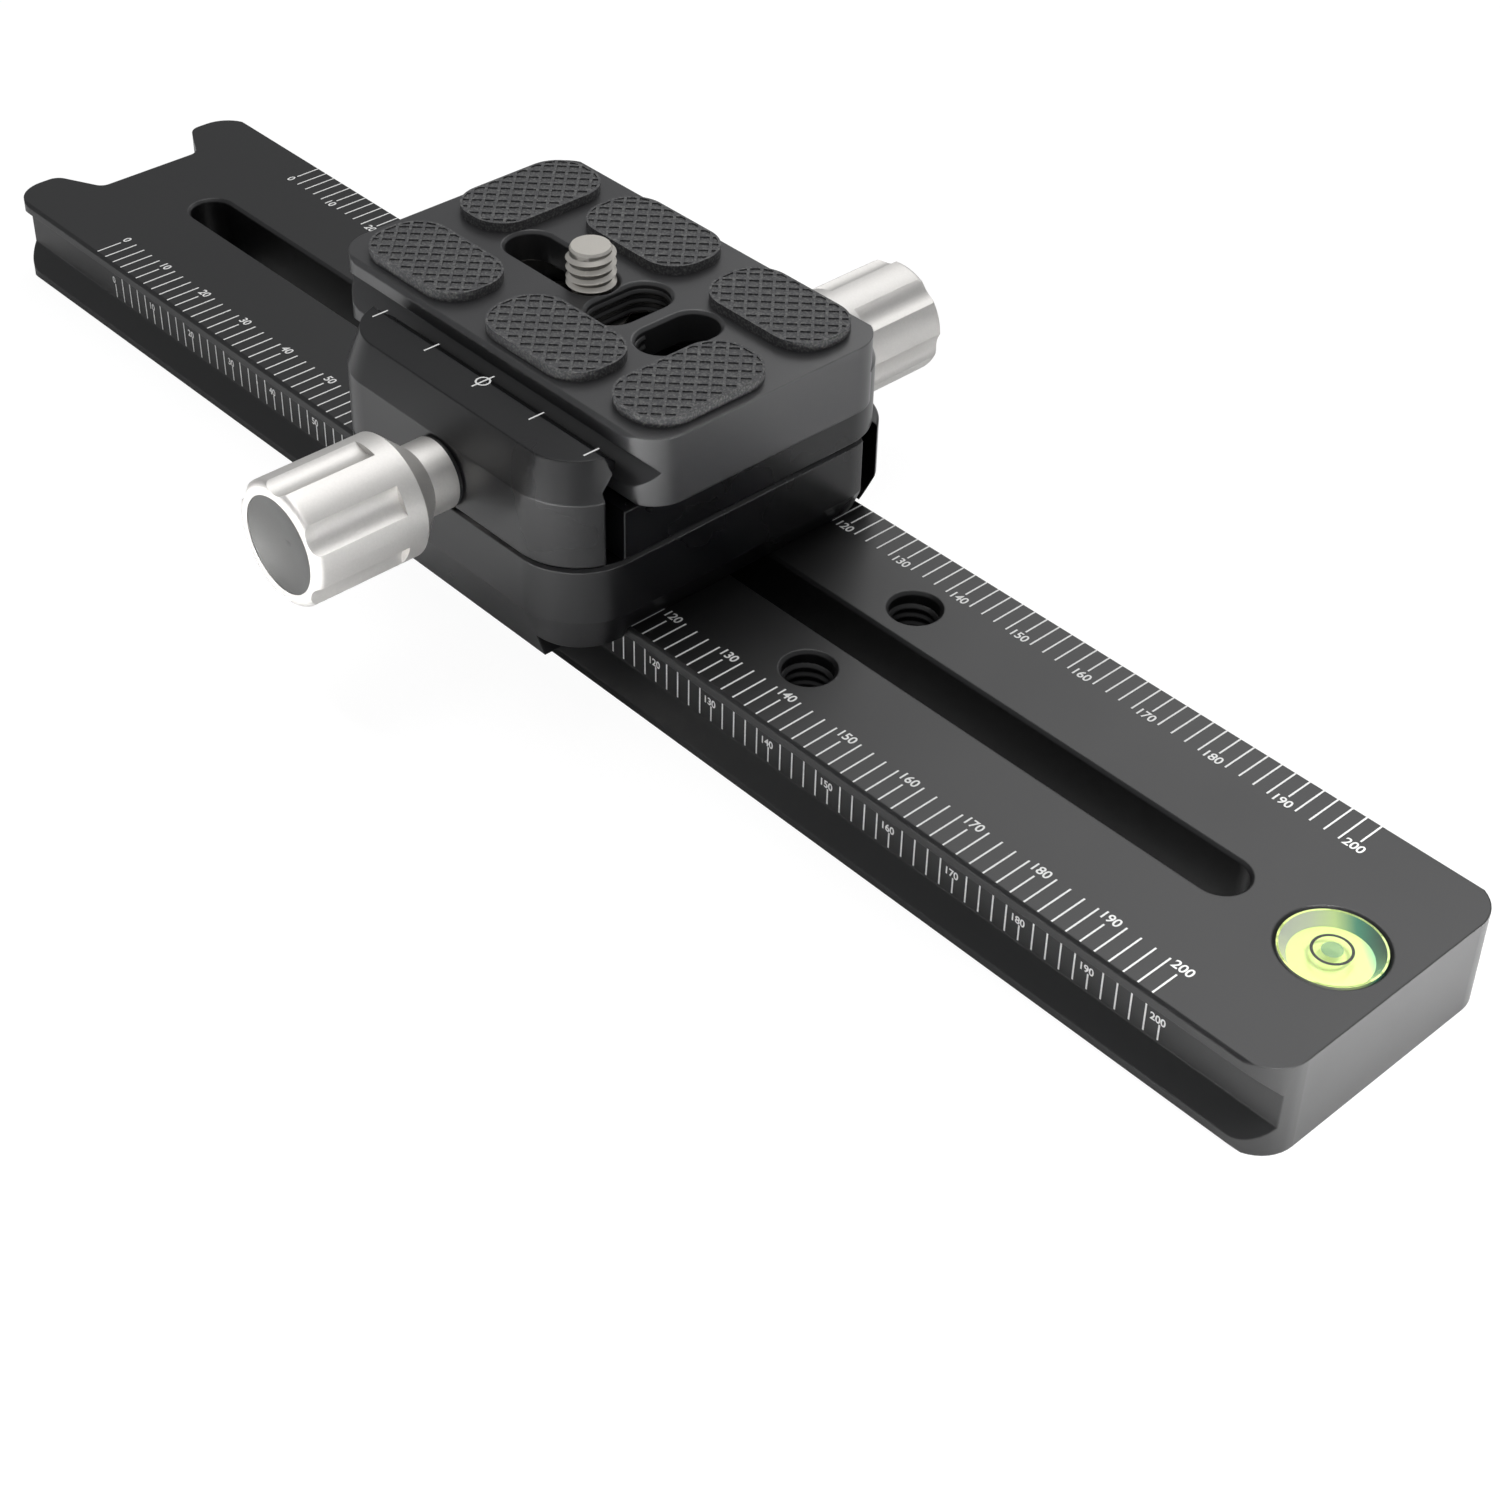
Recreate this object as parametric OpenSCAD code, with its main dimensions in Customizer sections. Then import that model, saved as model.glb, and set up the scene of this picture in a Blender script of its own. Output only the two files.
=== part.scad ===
// Nodal slide rail with a two-way clamp and a quick release plate, in millimetres.
// X runs along the rail towards the level, Y across it, Z up.
// The origin is the centre of the rail's flat underside.

/* [Rail] */
// Length of the rail
rail_len = 240; // [200:1:280]
// Width over the dovetail lips
rail_w = 39.4; // [38:0.1:42]
// Height of the rail
rail_h = 12.75; // [12.5:0.05:14]
// Height of each lip above and below the side channel
lip_h = 1.5; // [1.3:0.05:1.7]
// Depth of the side channel, cut at 45 degrees
channel_d = 2.55; // [2.3:0.05:2.7]
// Radius of the four plan corners
rail_corner_r = 5; // [3:0.5:6]
// Chamfer on the long top and bottom edges
rail_chamfer = 0.4; // [0.2:0.05:0.6]

/* [Notch] */
// Depth of the notch in the left end
notch_d = 7; // [5:0.5:10]
// Width of the notch at its mouth
notch_mouth_w = 23.8; // [21:0.1:25]
// Width of the notch at its base
notch_base_w = 16.6; // [14:0.1:19]
// Fillet at the base of the notch
notch_fillet_r = 1.8; // [1:0.1:2.5]
// Radius of the two tips beside the notch
notch_tip_r = 2.2; // [1:0.1:2.5]

/* [Slots and threads] */
// Width of the two long slots
slot_w = 6.3; // [5:0.1:7]
// Distance from the rail's middle to a slot's outer end
slot_reach = 99.6; // [85:0.1:100]
// Distance from the rail's middle to a slot's inner end
slot_start = 10; // [8:0.5:14]
// Diameter of the 1/4 inch threads
thread_d = 6.35; // [6:0.05:6.6]
// Place of the two flanking threads along the rail
thread_x = 41.1; // [38:0.1:60]
// Distance between the two flanking threads
thread_pitch = 17.8; // [15:0.1:20]
// Chamfer round slots and threads
rim_chamfer = 0.4; // [0.2:0.05:0.5]

/* [Level] */
// Diameter of the pocket for the level
level_d = 12; // [10:0.1:14]
// Distance from the rail's right end to the level
level_inset = 8.5; // [8:0.1:9.5]
// Depth of the level's pocket
level_depth = 7; // [6:0.1:9]
// Wall of the vial
vial_wall = 1.2; // [0.8:0.1:1.6]
// Diameter of the bubble
bubble_d = 2.6; // [2:0.1:3]
// Diameter of the ring printed under the lid
ring_d = 4.8; // [4:0.1:6]

/* [Clamp] */
// Length of the clamp along the rail
clamp_len = 48; // [44:0.5:54]
// Place of the clamp along the rail
clamp_x = -1.3; // [-20:0.1:20]
// Near face of the clamp from the middle line
clamp_near = 29.7; // [28.5:0.1:33]
// Far face of the clamp from the middle line
clamp_far = 24.3; // [23.8:0.1:28]
// Radius of the clamp's plan corners
clamp_corner_r = 9; // [6:0.5:10]
// Height of the lower layer over the rail
lower_h = 11.2; // [10.5:0.1:13]
// Thickness of the upper layer under the plate
bed_h = 6.95; // [6.8:0.05:9]
// Gap between a jaw and its body
jaw_gap = 2.4; // [2.3:0.05:3]
// Travel of the plate jaw from open to closed
near_travel = 2.3; // [1.8:0.05:2.3]
// How far the rail jaw stands open from closed
far_open = 1.2; // [0:0.1:1.2]
// Length of the rail jaws' gripping noses
rail_nose_len = 30; // [24:1:40]

/* [Plate] */
// Length of the plate
plate_len = 60.6; // [56:0.1:70]
// Width of the plate
plate_w = 38.4; // [37.5:0.1:38.6]
// Thickness of the plate
plate_h = 9.25; // [9:0.05:9.6]
// Radius of the plate's plan corners
plate_corner_r = 5.1; // [4:0.1:8]
// Place of the plate along the rail
plate_x = -5; // [-5.5:0.1:-2]
// Place of the plate across the rail
plate_y = -0.55; // [-0.8:0.05:-0.5]
// Height of the plate's rubber pads
pad_h = 1.3; // [0.8:0.1:2]

/* [Knobs] */
// Diameter of a knob over its ridges
knob_d = 15.9; // [14:0.1:18]
// Length of a knob from its jaw to its outer rim
knob_len = 23; // [20:0.5:28]
// Diameter of a knob's collar
collar_d = 9.2; // [8:0.1:10.5]
// Number of flutes round a knob
flutes = 6; // [5:1:8]
// Depth of a flute
flute_d = 0.9; // [0.6:0.1:1.2]
// Diameter of the clamp screws
screw_d = 4; // [4:0.1:5]

/* [Hidden] */
$fn = 64;

// Overrun of every cut past the face that it opens
over = 1;
// Running clearance round pins and screws that turn or slide
run_fit = 0.05;
// Clearance between sliding flat faces
slide_gap = 0.1;
// Clearance between the clamp and the rail, and between the lips and the plate
grip_gap = 0.25;
// Smallest skin left over a blind hole
skin = 0.8;

// Rail
half_w = rail_w / 2;
web_y = half_w - channel_d;
channel_top = rail_h - lip_h;
channel_low = lip_h;
level_x = rail_len / 2 - level_inset;
arc_steps = 8;

// Level, from the pocket's floor up
vial_floor = 1;
vial_lid = 1.4;
vial_recess = 0.1;
vial_gap = 0.05;
ring_line = 0.35;
ring_print = 0.15;
bubble_sink = 0.9;
vial_d = level_d - 2 * vial_gap;
vial_base_z = rail_h - level_depth;
vial_h = level_depth - vial_recess;
liquid_d = vial_d - 2 * vial_wall;
liquid_base_z = vial_base_z + vial_floor;
liquid_top_z = vial_base_z + vial_h - vial_lid;

// Clamp layers
clamp_half = clamp_len / 2;
lower_z = rail_h + slide_gap;
seam_z = lower_z + lower_h;
bed_z = seam_z + bed_h;
skirt_drop = 1.6;
skirt_z = lower_z - skirt_drop;
skirt_band_h = 5;
skirt_band_in = 2;
seam_chamfer = 0.4;
side_gap = 0.2;
lower_profile = [[skirt_band_in, skirt_z], [0, skirt_z + skirt_band_h],
  [0, seam_z - seam_chamfer], [seam_chamfer, seam_z]];

// Rail noses: a 45 degree face under the lip, a blunt tip and a flat underside
nose_tip_y = web_y + grip_gap;
nose_tip_h = 1.2;
nose_top_z = channel_top - slide_gap;
nose_tip_z = nose_top_z - (half_w - nose_tip_y);
nose_low_z = nose_tip_z - nose_tip_h;
nose_band_in = 1.2;

// Near jaw above the seam
jaw_head_h = 14;
jaw_top_z = seam_z + jaw_head_h;
jaw_band_h = 5;
jaw_band_in = 1.8;
jaw_wall = 6;
jaw_in_y = clamp_near - jaw_wall;
upper_near_y = jaw_in_y - jaw_gap;
upper_profile = [[seam_chamfer, seam_z], [0, seam_z + seam_chamfer],
  [0, jaw_top_z - jaw_band_h], [jaw_band_in, jaw_top_z]];
plate_near_y = plate_w / 2 - plate_y;
plate_far_y = plate_w / 2 + plate_y;
plate_lip_h = 2.1;
plate_groove_d = 2.5;
plate_chamfer = 0.5;
near_nose_y = plate_near_y + near_travel - plate_groove_d + 2 * grip_gap + slide_gap;
near_nose_z = bed_z + plate_lip_h + grip_gap + near_travel - (near_nose_y - plate_near_y);
near_nose_h = 0.85;
near_head_d = 1.2;
near_end_relief = 3;
near_end_nose_d = 1.7;
near_end_neck_h = 10.2;
near_end_nose_h = 12;

// Far jaw below the seam and the fixed lip above it
far_wall = 4.1;
far_in_y = clamp_far - far_wall;
lower_far_y = far_in_y - jaw_gap;
far_lip_y = plate_far_y + grip_gap;
far_lip_rise = 1.25;
far_lip_z = bed_z + plate_lip_h + far_lip_rise;
far_lip_chamfer = 0.5;

// Bed screws, pins and springs
bed_screw_d = 4;
bed_screw_head_d = 7.6;
bed_screw_head_h = 2.2;
bed_screw_sink = 0.2;
bed_screw_in = 5.5;
bed_screw_x = clamp_half - bed_screw_in;
bed_screw_near_y = -10.5;
bed_screw_far_y = 3.5;
bed_screw_skin = 3;
hex_d = 2.6;
hex_h = 1.6;
pin_d = 3;
pin_in = 11;
pin_x = clamp_half - pin_in;
pin_len = 13.5;
pin_tip = 0.4;
near_pin_grip = 2;
far_pin_grip = 3;
spring_wire_d = 0.6;
spring_gap = 0.3;
near_spring_len = 5.9;
far_spring_len = 6.1;
spring_turns = 6;
spring_sides = 6;
spring_steps = 10;
spring_mean_r = pin_d / 2 + spring_gap + spring_wire_d / 2;
spring_pocket_d = 2 * spring_mean_r + spring_wire_d + 2 * spring_gap;
near_pin_z = bed_z - spring_pocket_d / 2 - skin;
near_pocket_d = near_spring_len + slide_gap;
far_pocket_d = far_spring_len - jaw_gap + slide_gap;

// Stop channel in the bed, for the plate's two stop pins
stop_y = 10.2;
stop_reach = 13.5;
stop_pin_d = 3;
stop_pin_drop = 1.6;
stop_pin_grip = 3;
stop_travel_back = 3;
stop_travel_on = 10;
stop_channel_d = 2;

// Plate openings
plate_slot_w = 6.6;
plate_slot_x0 = -17.9;
plate_slot_x1 = 0.6;
cross_slot_len = 11.6;
cross_slot_w = 6.5;
cross_slot_1_x = 4.3;
cross_slot_2_x = 13.4;
plate_floor = 4.2;
recess_w = 15.4;
recess_x0 = -22.3;
recess_x1 = 18.6;
plate_rim_chamfer = 0.4;

// Rubber pads, as places from the plate's middle and a length along X and Y
pad_long = 19.4;
pad_short = 10.9;
pad_r = 4.8;
pad_rib = 0.3;
pad_pitch = 1.65;
pad_rib_w = 0.4;
pad_border = 0.3;
pad_step = pad_pitch / sqrt(2);
pad_outer_x = 23.5;
pad_outer_y = 7.2;
pad_mid_x = 18.1;
pad_mid_y = 12.2;
pad_inner_x = 5.5;
pad_inner_y = 12.4;

// Camera screw
stud_d = 6.35;
stud_out = 5;
stud_x = -2.8;
stud_chamfer = 0.7;
head_d = 14.2;
head_h = 3.4;
head_up = 0.3;
head_slot_w = 1.8;
head_slot_d = 1.4;
clip_d = 9.4;
clip_h = 0.4;
neck_d = 5;
neck_out = 0.1;
clip_z = bed_z + plate_h - plate_floor - clip_h - slide_gap;

// Knobs
knob_r = knob_d / 2;
collar_r = collar_d / 2;
washer_h = 0.5;
washer_d = 9;
collar_len = 3.55;
knob_back_h = 3.55;
rim_round = 0.9;
dish_d = 12.4;
dish_depth = 1.6;
cap_h = 1.5;
cap_sag = 1.2;
flute_r = 3;
flute_start = 10.2;
near_flute_turn = 30;
far_flute_turn = 10;
near_knob_z = bed_z - screw_d / 2 - skin;
far_knob_h = 6.55;
far_knob_z = lower_z + far_knob_h;
screw_tip = 0.4;
screw_in_knob = 12;
near_screw_grip = 12;
far_screw_grip = 10;
hole_gap = 0.3;

// A block with round plan corners whose side band follows a profile of [inset, height]
module banded_block(half, near, far, r, profile) {
  last = len(profile) - 1;
  along = concat([for (p = profile) [p[0] - near, p[1]]],
    [for (i = [last:-1:0]) [far - profile[i][0], profile[i][1]]]);
  across = concat([for (p = profile) [p[0] - half, p[1]]],
    [for (i = [last:-1:0]) [half - profile[i][0], profile[i][1]]]);
  round = concat([for (p = profile) [r - p[0], p[1]]],
    [[0, profile[last][1]], [0, profile[0][1]]]);
  prism_x(2 * (half - r)) polygon(along);
  translate([0, far - r, 0]) rotate([90, 0, 0])
    linear_extrude(near + far - 2 * r) polygon(across);
  for (side = [-1, 1]) {
    translate([side * (half - r), r - near, 0]) rotate_extrude() polygon(round);
    translate([side * (half - r), far - r, 0]) rotate_extrude() polygon(round);
  }
}

// A section in Y and Z, drawn out along X and centred on the middle
module prism_x(len) {
  translate([-len / 2, 0, 0]) rotate([90, 0, 90]) linear_extrude(len) children();
}

// A flat shape with round ends along X or Y
module slot_2d(len, w) {
  square([len - w, w], center = true);
  for (side = [-1, 1]) translate([side * (len - w) / 2, 0]) circle(d = w);
}

module round_rect(len, w, r) {
  square([len - 2 * r, w], center = true);
  square([len, w - 2 * r], center = true);
  for (i = [-1, 1], j = [-1, 1]) translate([i * (len / 2 - r), j * (w / 2 - r)]) circle(r);
}

// A round hole with a chamfered mouth on top
module top_hole(d, depth, top, rim) {
  translate([0, 0, top - depth]) cylinder(d = d, h = depth + over);
  translate([0, 0, top - rim]) cylinder(d1 = d, d2 = d + 2 * (rim + over), h = rim + over);
}

// A slot through a floor, with a chamfered mouth on top
module top_slot(len, w, low, top, rim) {
  translate([0, 0, low]) linear_extrude(top - low + over) slot_2d(len, w);
  for (side = [-1, 1]) translate([side * (len - w) / 2, 0, top - rim])
    cylinder(d1 = w, d2 = w + 2 * (rim + over), h = rim + over);
  translate([0, 0, top - rim]) prism_x(len - w)
    polygon([[-w / 2, 0], [w / 2, 0], [w / 2 + rim + over, rim + over],
      [-w / 2 - rim - over, rim + over]]);
}

module rail_plan() {
  difference() {
    round_rect(rail_len, rail_w, rail_corner_r);
    translate([-rail_len / 2, 0]) notch_plan();
  }
}

function arc_points(middle, r, from, to) =
  [for (i = [0:arc_steps]) let (a = from + (to - from) * i / arc_steps)
    middle + r * [cos(a), sin(a)]];

// The notch narrows from its mouth to its base, with round tips and round inner corners
module notch_plan() {
  mouth = notch_mouth_w / 2;
  base = notch_base_w / 2;
  lean = atan((mouth - base) / notch_d);
  tip_tuck = notch_tip_r / tan((90 + lean) / 2);
  base_tuck = notch_fillet_r / tan((90 + lean) / 2);
  upper = concat([[-over, mouth + tip_tuck]],
    arc_points([notch_tip_r, mouth + tip_tuck], notch_tip_r, 180, 270 - lean),
    arc_points([notch_d - notch_fillet_r, base - base_tuck], notch_fillet_r, 90 - lean, 0));
  lower = [for (i = [len(upper) - 1:-1:0]) [upper[i][0], -upper[i][1]]];
  polygon(concat(upper, lower));
}

// The rail's section, with a 45 degree channel along each side
module rail_section() {
  c = rail_chamfer;
  right = [[half_w - c, 0], [half_w, c], [half_w, channel_low], [web_y, channel_low + channel_d],
    [web_y, channel_top - channel_d], [half_w, channel_top], [half_w, rail_h - c],
    [half_w - c, rail_h]];
  left = [for (i = [len(right) - 1:-1:0]) [-right[i][0], right[i][1]]];
  polygon(concat(right, left));
}

module rail_body() {
  color("dimgray") difference() {
    intersection() {
      prism_x(rail_len) rail_section();
      linear_extrude(rail_h) rail_plan();
    }
    for (side = [-1, 1]) translate([side * (slot_reach + slot_start) / 2, 0, 0])
      top_slot(slot_reach - slot_start, slot_w, -over, rail_h, rim_chamfer);
    top_hole(thread_d, rail_h + over, rail_h, rim_chamfer);
    for (side = [-1, 1]) translate([thread_x, side * thread_pitch / 2, 0])
      top_hole(thread_d, rail_h + over, rail_h, rim_chamfer);
    translate([level_x, 0, 0]) top_hole(level_d, level_depth, rail_h, rim_chamfer);
  }
}

module level_vial() {
  color("palegreen", 0.4) translate([level_x, 0, 0]) difference() {
    translate([0, 0, vial_base_z]) cylinder(d = vial_d, h = vial_h);
    translate([0, 0, liquid_base_z]) cylinder(d = liquid_d, h = liquid_top_z - liquid_base_z);
  }
}

module bubble_shape() {
  translate([0, 0, liquid_top_z - bubble_sink]) intersection() {
    sphere(d = bubble_d);
    translate([0, 0, -bubble_d]) cylinder(d = 2 * bubble_d, h = bubble_d + bubble_sink);
  }
}

module ring_shape() {
  translate([0, 0, liquid_top_z - ring_print]) difference() {
    cylinder(d = ring_d, h = ring_print);
    translate([0, 0, -over]) cylinder(d = ring_d - 2 * ring_line, h = ring_print + 2 * over);
  }
}

module level_liquid() {
  color("greenyellow") translate([level_x, 0, 0]) difference() {
    translate([0, 0, liquid_base_z]) cylinder(d = liquid_d, h = liquid_top_z - liquid_base_z);
    bubble_shape();
    ring_shape();
  }
}

module level_bubble() {
  color("white") translate([level_x, 0, 0]) bubble_shape();
}

module level_ring() {
  color("black") translate([level_x, 0, 0]) ring_shape();
}

// Holes that both layers of the clamp share, at the four bed screws
module at_bed_screws() {
  for (side = [-1, 1], y = [bed_screw_near_y, bed_screw_far_y])
    translate([side * bed_screw_x, y, 0]) children();
}

// Places of the two guide pins of a jaw, at a height and facing out along Y
module at_pins(z) {
  for (side = [-1, 1]) translate([side * pin_x, 0, z]) rotate([-90, 0, 0]) children();
}

// A fixed or moving nose that hooks under a rail lip, on the near side
module rail_nose(outer_y) {
  near_y = outer_y - skirt_band_in;
  prism_x(rail_nose_len) polygon([[-near_y, skirt_z], [-half_w - side_gap, skirt_z],
    [-half_w - side_gap, nose_top_z - side_gap], [-nose_tip_y, nose_tip_z],
    [-nose_tip_y, nose_low_z], [nose_band_in - near_y, nose_low_z]]);
}

module lower_body() {
  color([0.16, 0.16, 0.17]) translate([clamp_x, 0, 0]) difference() {
    union() {
      difference() {
        banded_block(clamp_half, clamp_near, clamp_far, clamp_corner_r, lower_profile);
        translate([0, lower_far_y + clamp_near, 0]) big_box();
        prism_x(clamp_len + 2 * over) polygon([[-half_w - side_gap, 0],
          [clamp_far + over, 0], [clamp_far + over, lower_z], [-half_w - side_gap, lower_z]]);
      }
      rail_nose(clamp_near);
    }
    at_bed_screws() translate([0, 0, lower_z + bed_screw_skin])
      cylinder(d = bed_screw_d + 2 * run_fit, h = lower_h);
    translate([0, -clamp_near - over, near_knob_z]) rotate([-90, 0, 0])
      cylinder(d = collar_d + 2 * hole_gap, h = near_travel + hole_gap + over);
    translate([0, lower_far_y + over, far_knob_z]) rotate([90, 0, 0])
      cylinder(d = screw_d + 2 * run_fit, h = far_screw_grip + 2 * over);
    translate([0, lower_far_y, 0]) pin_holes(far_knob_z, far_pocket_d,
      pin_len - far_pin_grip - jaw_gap, -1);
  }
}

// A box that covers everything beyond the near face moved to the origin
module big_box() {
  translate([-clamp_half - over, -clamp_near, -jaw_top_z])
    cube([clamp_len + 2 * over, 2 * clamp_near + clamp_far, 3 * jaw_top_z]);
}

// Holes for pressed pins, each with a wider pocket for its spring; dir is the way out along Y
module pin_holes(z, pocket, depth, dir) {
  mirror([0, dir > 0 ? 0 : 1, 0]) at_pins(z) {
    translate([0, 0, -over]) cylinder(d = spring_pocket_d, h = pocket + over);
    translate([0, 0, -over]) cylinder(d = pin_d, h = depth + over);
  }
}

module upper_body() {
  lip = [[far_lip_y, bed_z], [far_lip_y, bed_z + plate_lip_h],
    [far_lip_y - far_lip_rise, far_lip_z], [clamp_far - far_lip_chamfer, far_lip_z],
    [clamp_far, far_lip_z - far_lip_chamfer]];
  color([0.14, 0.14, 0.15]) translate([clamp_x, 0, 0]) difference() {
    intersection() {
      banded_block(clamp_half, clamp_near, clamp_far, clamp_corner_r, upper_profile);
      prism_x(clamp_len) polygon(concat([[-upper_near_y, seam_z], [-upper_near_y, bed_z]],
        lip, [[clamp_far, seam_z]]));
    }
    at_bed_screws() {
      translate([0, 0, seam_z - over]) cylinder(d = bed_screw_d + 2 * hole_gap, h = bed_h + 2 * over);
      translate([0, 0, bed_z - bed_screw_sink - bed_screw_head_h])
        cylinder(d1 = bed_screw_d + 2 * hole_gap, d2 = bed_screw_head_d + 2 * run_fit,
          h = bed_screw_head_h);
      translate([0, 0, bed_z - bed_screw_sink])
        cylinder(d = bed_screw_head_d + 2 * run_fit, h = over);
    }
    translate([0, -upper_near_y - over, near_knob_z]) rotate([-90, 0, 0])
      cylinder(d = screw_d + 2 * run_fit, h = near_screw_grip + near_travel + 2 * over);
    translate([0, -upper_near_y, 0]) pin_holes(near_pin_z, near_pocket_d,
      pin_len - near_pin_grip - jaw_gap, 1);
    stop_channel();
  }
}

// The closed channel that the plate's stop pins run in
module stop_channel() {
  back = plate_x - clamp_x - stop_reach - stop_pin_d / 2 - stop_travel_back;
  front = plate_x - clamp_x + stop_reach + stop_pin_d / 2 + stop_travel_on;
  width = stop_pin_d + 2 * hole_gap;
  translate([(back + front) / 2, plate_y + stop_y, bed_z - stop_channel_d])
    linear_extrude(stop_channel_d + over) slot_2d(front - back + 2 * run_fit, width);
}

module bed_screws() {
  color("gray") translate([clamp_x, 0, 0]) at_bed_screws() difference() {
    union() {
      translate([0, 0, lower_z + bed_screw_skin + hole_gap])
        cylinder(d = bed_screw_d, h = bed_z - bed_screw_sink - lower_z - bed_screw_skin - hole_gap
          - bed_screw_head_h);
      translate([0, 0, bed_z - bed_screw_sink - bed_screw_head_h])
        cylinder(d1 = bed_screw_d, d2 = bed_screw_head_d, h = bed_screw_head_h);
    }
    translate([0, 0, bed_z - bed_screw_sink - hex_h]) cylinder(d = hex_d, h = hex_h + over, $fn = 6);
  }
}

// A ground pin with chamfered ends, from its inner end out along the axis
module guide_pin() {
  rotate_extrude() polygon([[0, 0], [pin_d / 2 - pin_tip, 0], [pin_d / 2, pin_tip],
    [pin_d / 2, pin_len - pin_tip], [pin_d / 2 - pin_tip, pin_len], [0, pin_len]]);
}

module near_guide_pins() {
  color("silver") translate([clamp_x, 0, 0]) for (side = [-1, 1])
    translate([side * pin_x, -jaw_in_y - near_pin_grip, near_pin_z])
      rotate([-90, 0, 0]) guide_pin();
}

module far_guide_pins() {
  color("silver") translate([clamp_x, 0, 0]) for (side = [-1, 1])
    translate([side * pin_x, far_in_y + far_pin_grip, far_knob_z])
      rotate([90, 0, 0]) guide_pin();
}

function turn_point(i, j, length) =
  let (a = 360 * i / spring_steps, b = 360 * j / spring_sides,
    r = spring_mean_r + spring_wire_d / 2 * cos(b),
    rise = (length - spring_wire_d) * i / (spring_turns * spring_steps))
  [r * cos(a), r * sin(a), spring_wire_d / 2 + rise + spring_wire_d / 2 * sin(b)];

// A compression spring, swept as one tube of spring_sides sides
module spring(length) {
  rings = spring_turns * spring_steps;
  points = [for (i = [0:rings], j = [0:spring_sides - 1]) turn_point(i, j, length)];
  n = spring_sides;
  side_faces = [for (i = [0:rings - 1], j = [0:n - 1], half = [0, 1])
    let (a = i * n + j, b = i * n + (j + 1) % n)
    half == 0 ? [a, b, a + n] : [b, b + n, a + n]];
  start = [for (j = [1:n - 2]) [0, j + 1, j]];
  end = [for (j = [1:n - 2]) [rings * n, rings * n + j, rings * n + j + 1]];
  polyhedron(points, concat(side_faces, start, end));
}

module near_springs() {
  color("silver") translate([clamp_x, 0, 0]) for (side = [-1, 1])
    translate([side * pin_x, -upper_near_y, near_pin_z]) rotate([-90, 0, 0])
      spring(near_spring_len);
}

module far_springs() {
  color("silver") translate([clamp_x, 0, 0]) for (side = [-1, 1])
    translate([side * pin_x, far_in_y - slide_gap, far_knob_z]) rotate([90, 0, 0])
      spring(far_spring_len - slide_gap);
}

module near_jaw() {
  wall = -jaw_in_y;
  low = seam_z + slide_gap;
  middle = [[-clamp_near - over, low], [wall, low], [wall, near_nose_z - (jaw_in_y - near_nose_y)],
    [-near_nose_y, near_nose_z], [-near_nose_y, near_nose_z + near_nose_h],
    [wall + near_head_d, jaw_top_z], [-clamp_near - over, jaw_top_z]];
  end = [[-clamp_near - over, low], [wall, low], [wall, seam_z + near_end_neck_h],
    [wall + near_end_nose_d, seam_z + near_end_nose_h], [wall + near_head_d, jaw_top_z],
    [-clamp_near - over, jaw_top_z]];
  color([0.2, 0.2, 0.21]) translate([clamp_x, 0, 0]) difference() {
    intersection() {
      banded_block(clamp_half, clamp_near, clamp_far, clamp_corner_r, upper_profile);
      union() {
        prism_x(clamp_len - 2 * near_end_relief) polygon(middle);
        prism_x(clamp_len) polygon(end);
      }
    }
    translate([0, -clamp_near - over, near_knob_z]) rotate([-90, 0, 0])
      cylinder(d = screw_d + 2 * hole_gap, h = jaw_wall + 2 * over);
    for (side = [-1, 1]) translate([side * pin_x, -clamp_near + skin, near_pin_z])
      rotate([-90, 0, 0]) cylinder(d = pin_d + 2 * run_fit, h = jaw_wall);
  }
}

module far_jaw() {
  color([0.16, 0.16, 0.17]) translate([clamp_x, far_open, 0]) difference() {
    union() {
      intersection() {
        banded_block(clamp_half, clamp_near, clamp_far, clamp_corner_r, lower_profile);
        prism_x(clamp_len) polygon([[far_in_y, skirt_z], [clamp_far, skirt_z],
          [clamp_far, seam_z - slide_gap], [far_in_y, seam_z - slide_gap]]);
      }
      mirror([0, 1, 0]) far_nose();
    }
    translate([0, far_in_y - over, far_knob_z]) rotate([-90, 0, 0])
      cylinder(d = screw_d + 2 * hole_gap, h = far_wall + 2 * over);
    for (side = [-1, 1]) translate([side * pin_x, clamp_far - skin, far_knob_z])
      rotate([90, 0, 0]) cylinder(d = pin_d + 2 * run_fit, h = far_wall);
  }
}

// The far jaw's nose, drawn on the near side, with its wall up to the jaw's inner face
module far_nose() {
  near_y = clamp_far - skirt_band_in;
  prism_x(rail_nose_len) polygon([[-near_y, skirt_z + over], [-far_in_y, skirt_z + over],
    [-far_in_y, nose_top_z - (far_in_y - half_w)], [-nose_tip_y, nose_tip_z],
    [-nose_tip_y, nose_low_z], [nose_band_in - near_y, nose_low_z], [-near_y, skirt_z]]);
}

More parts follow.
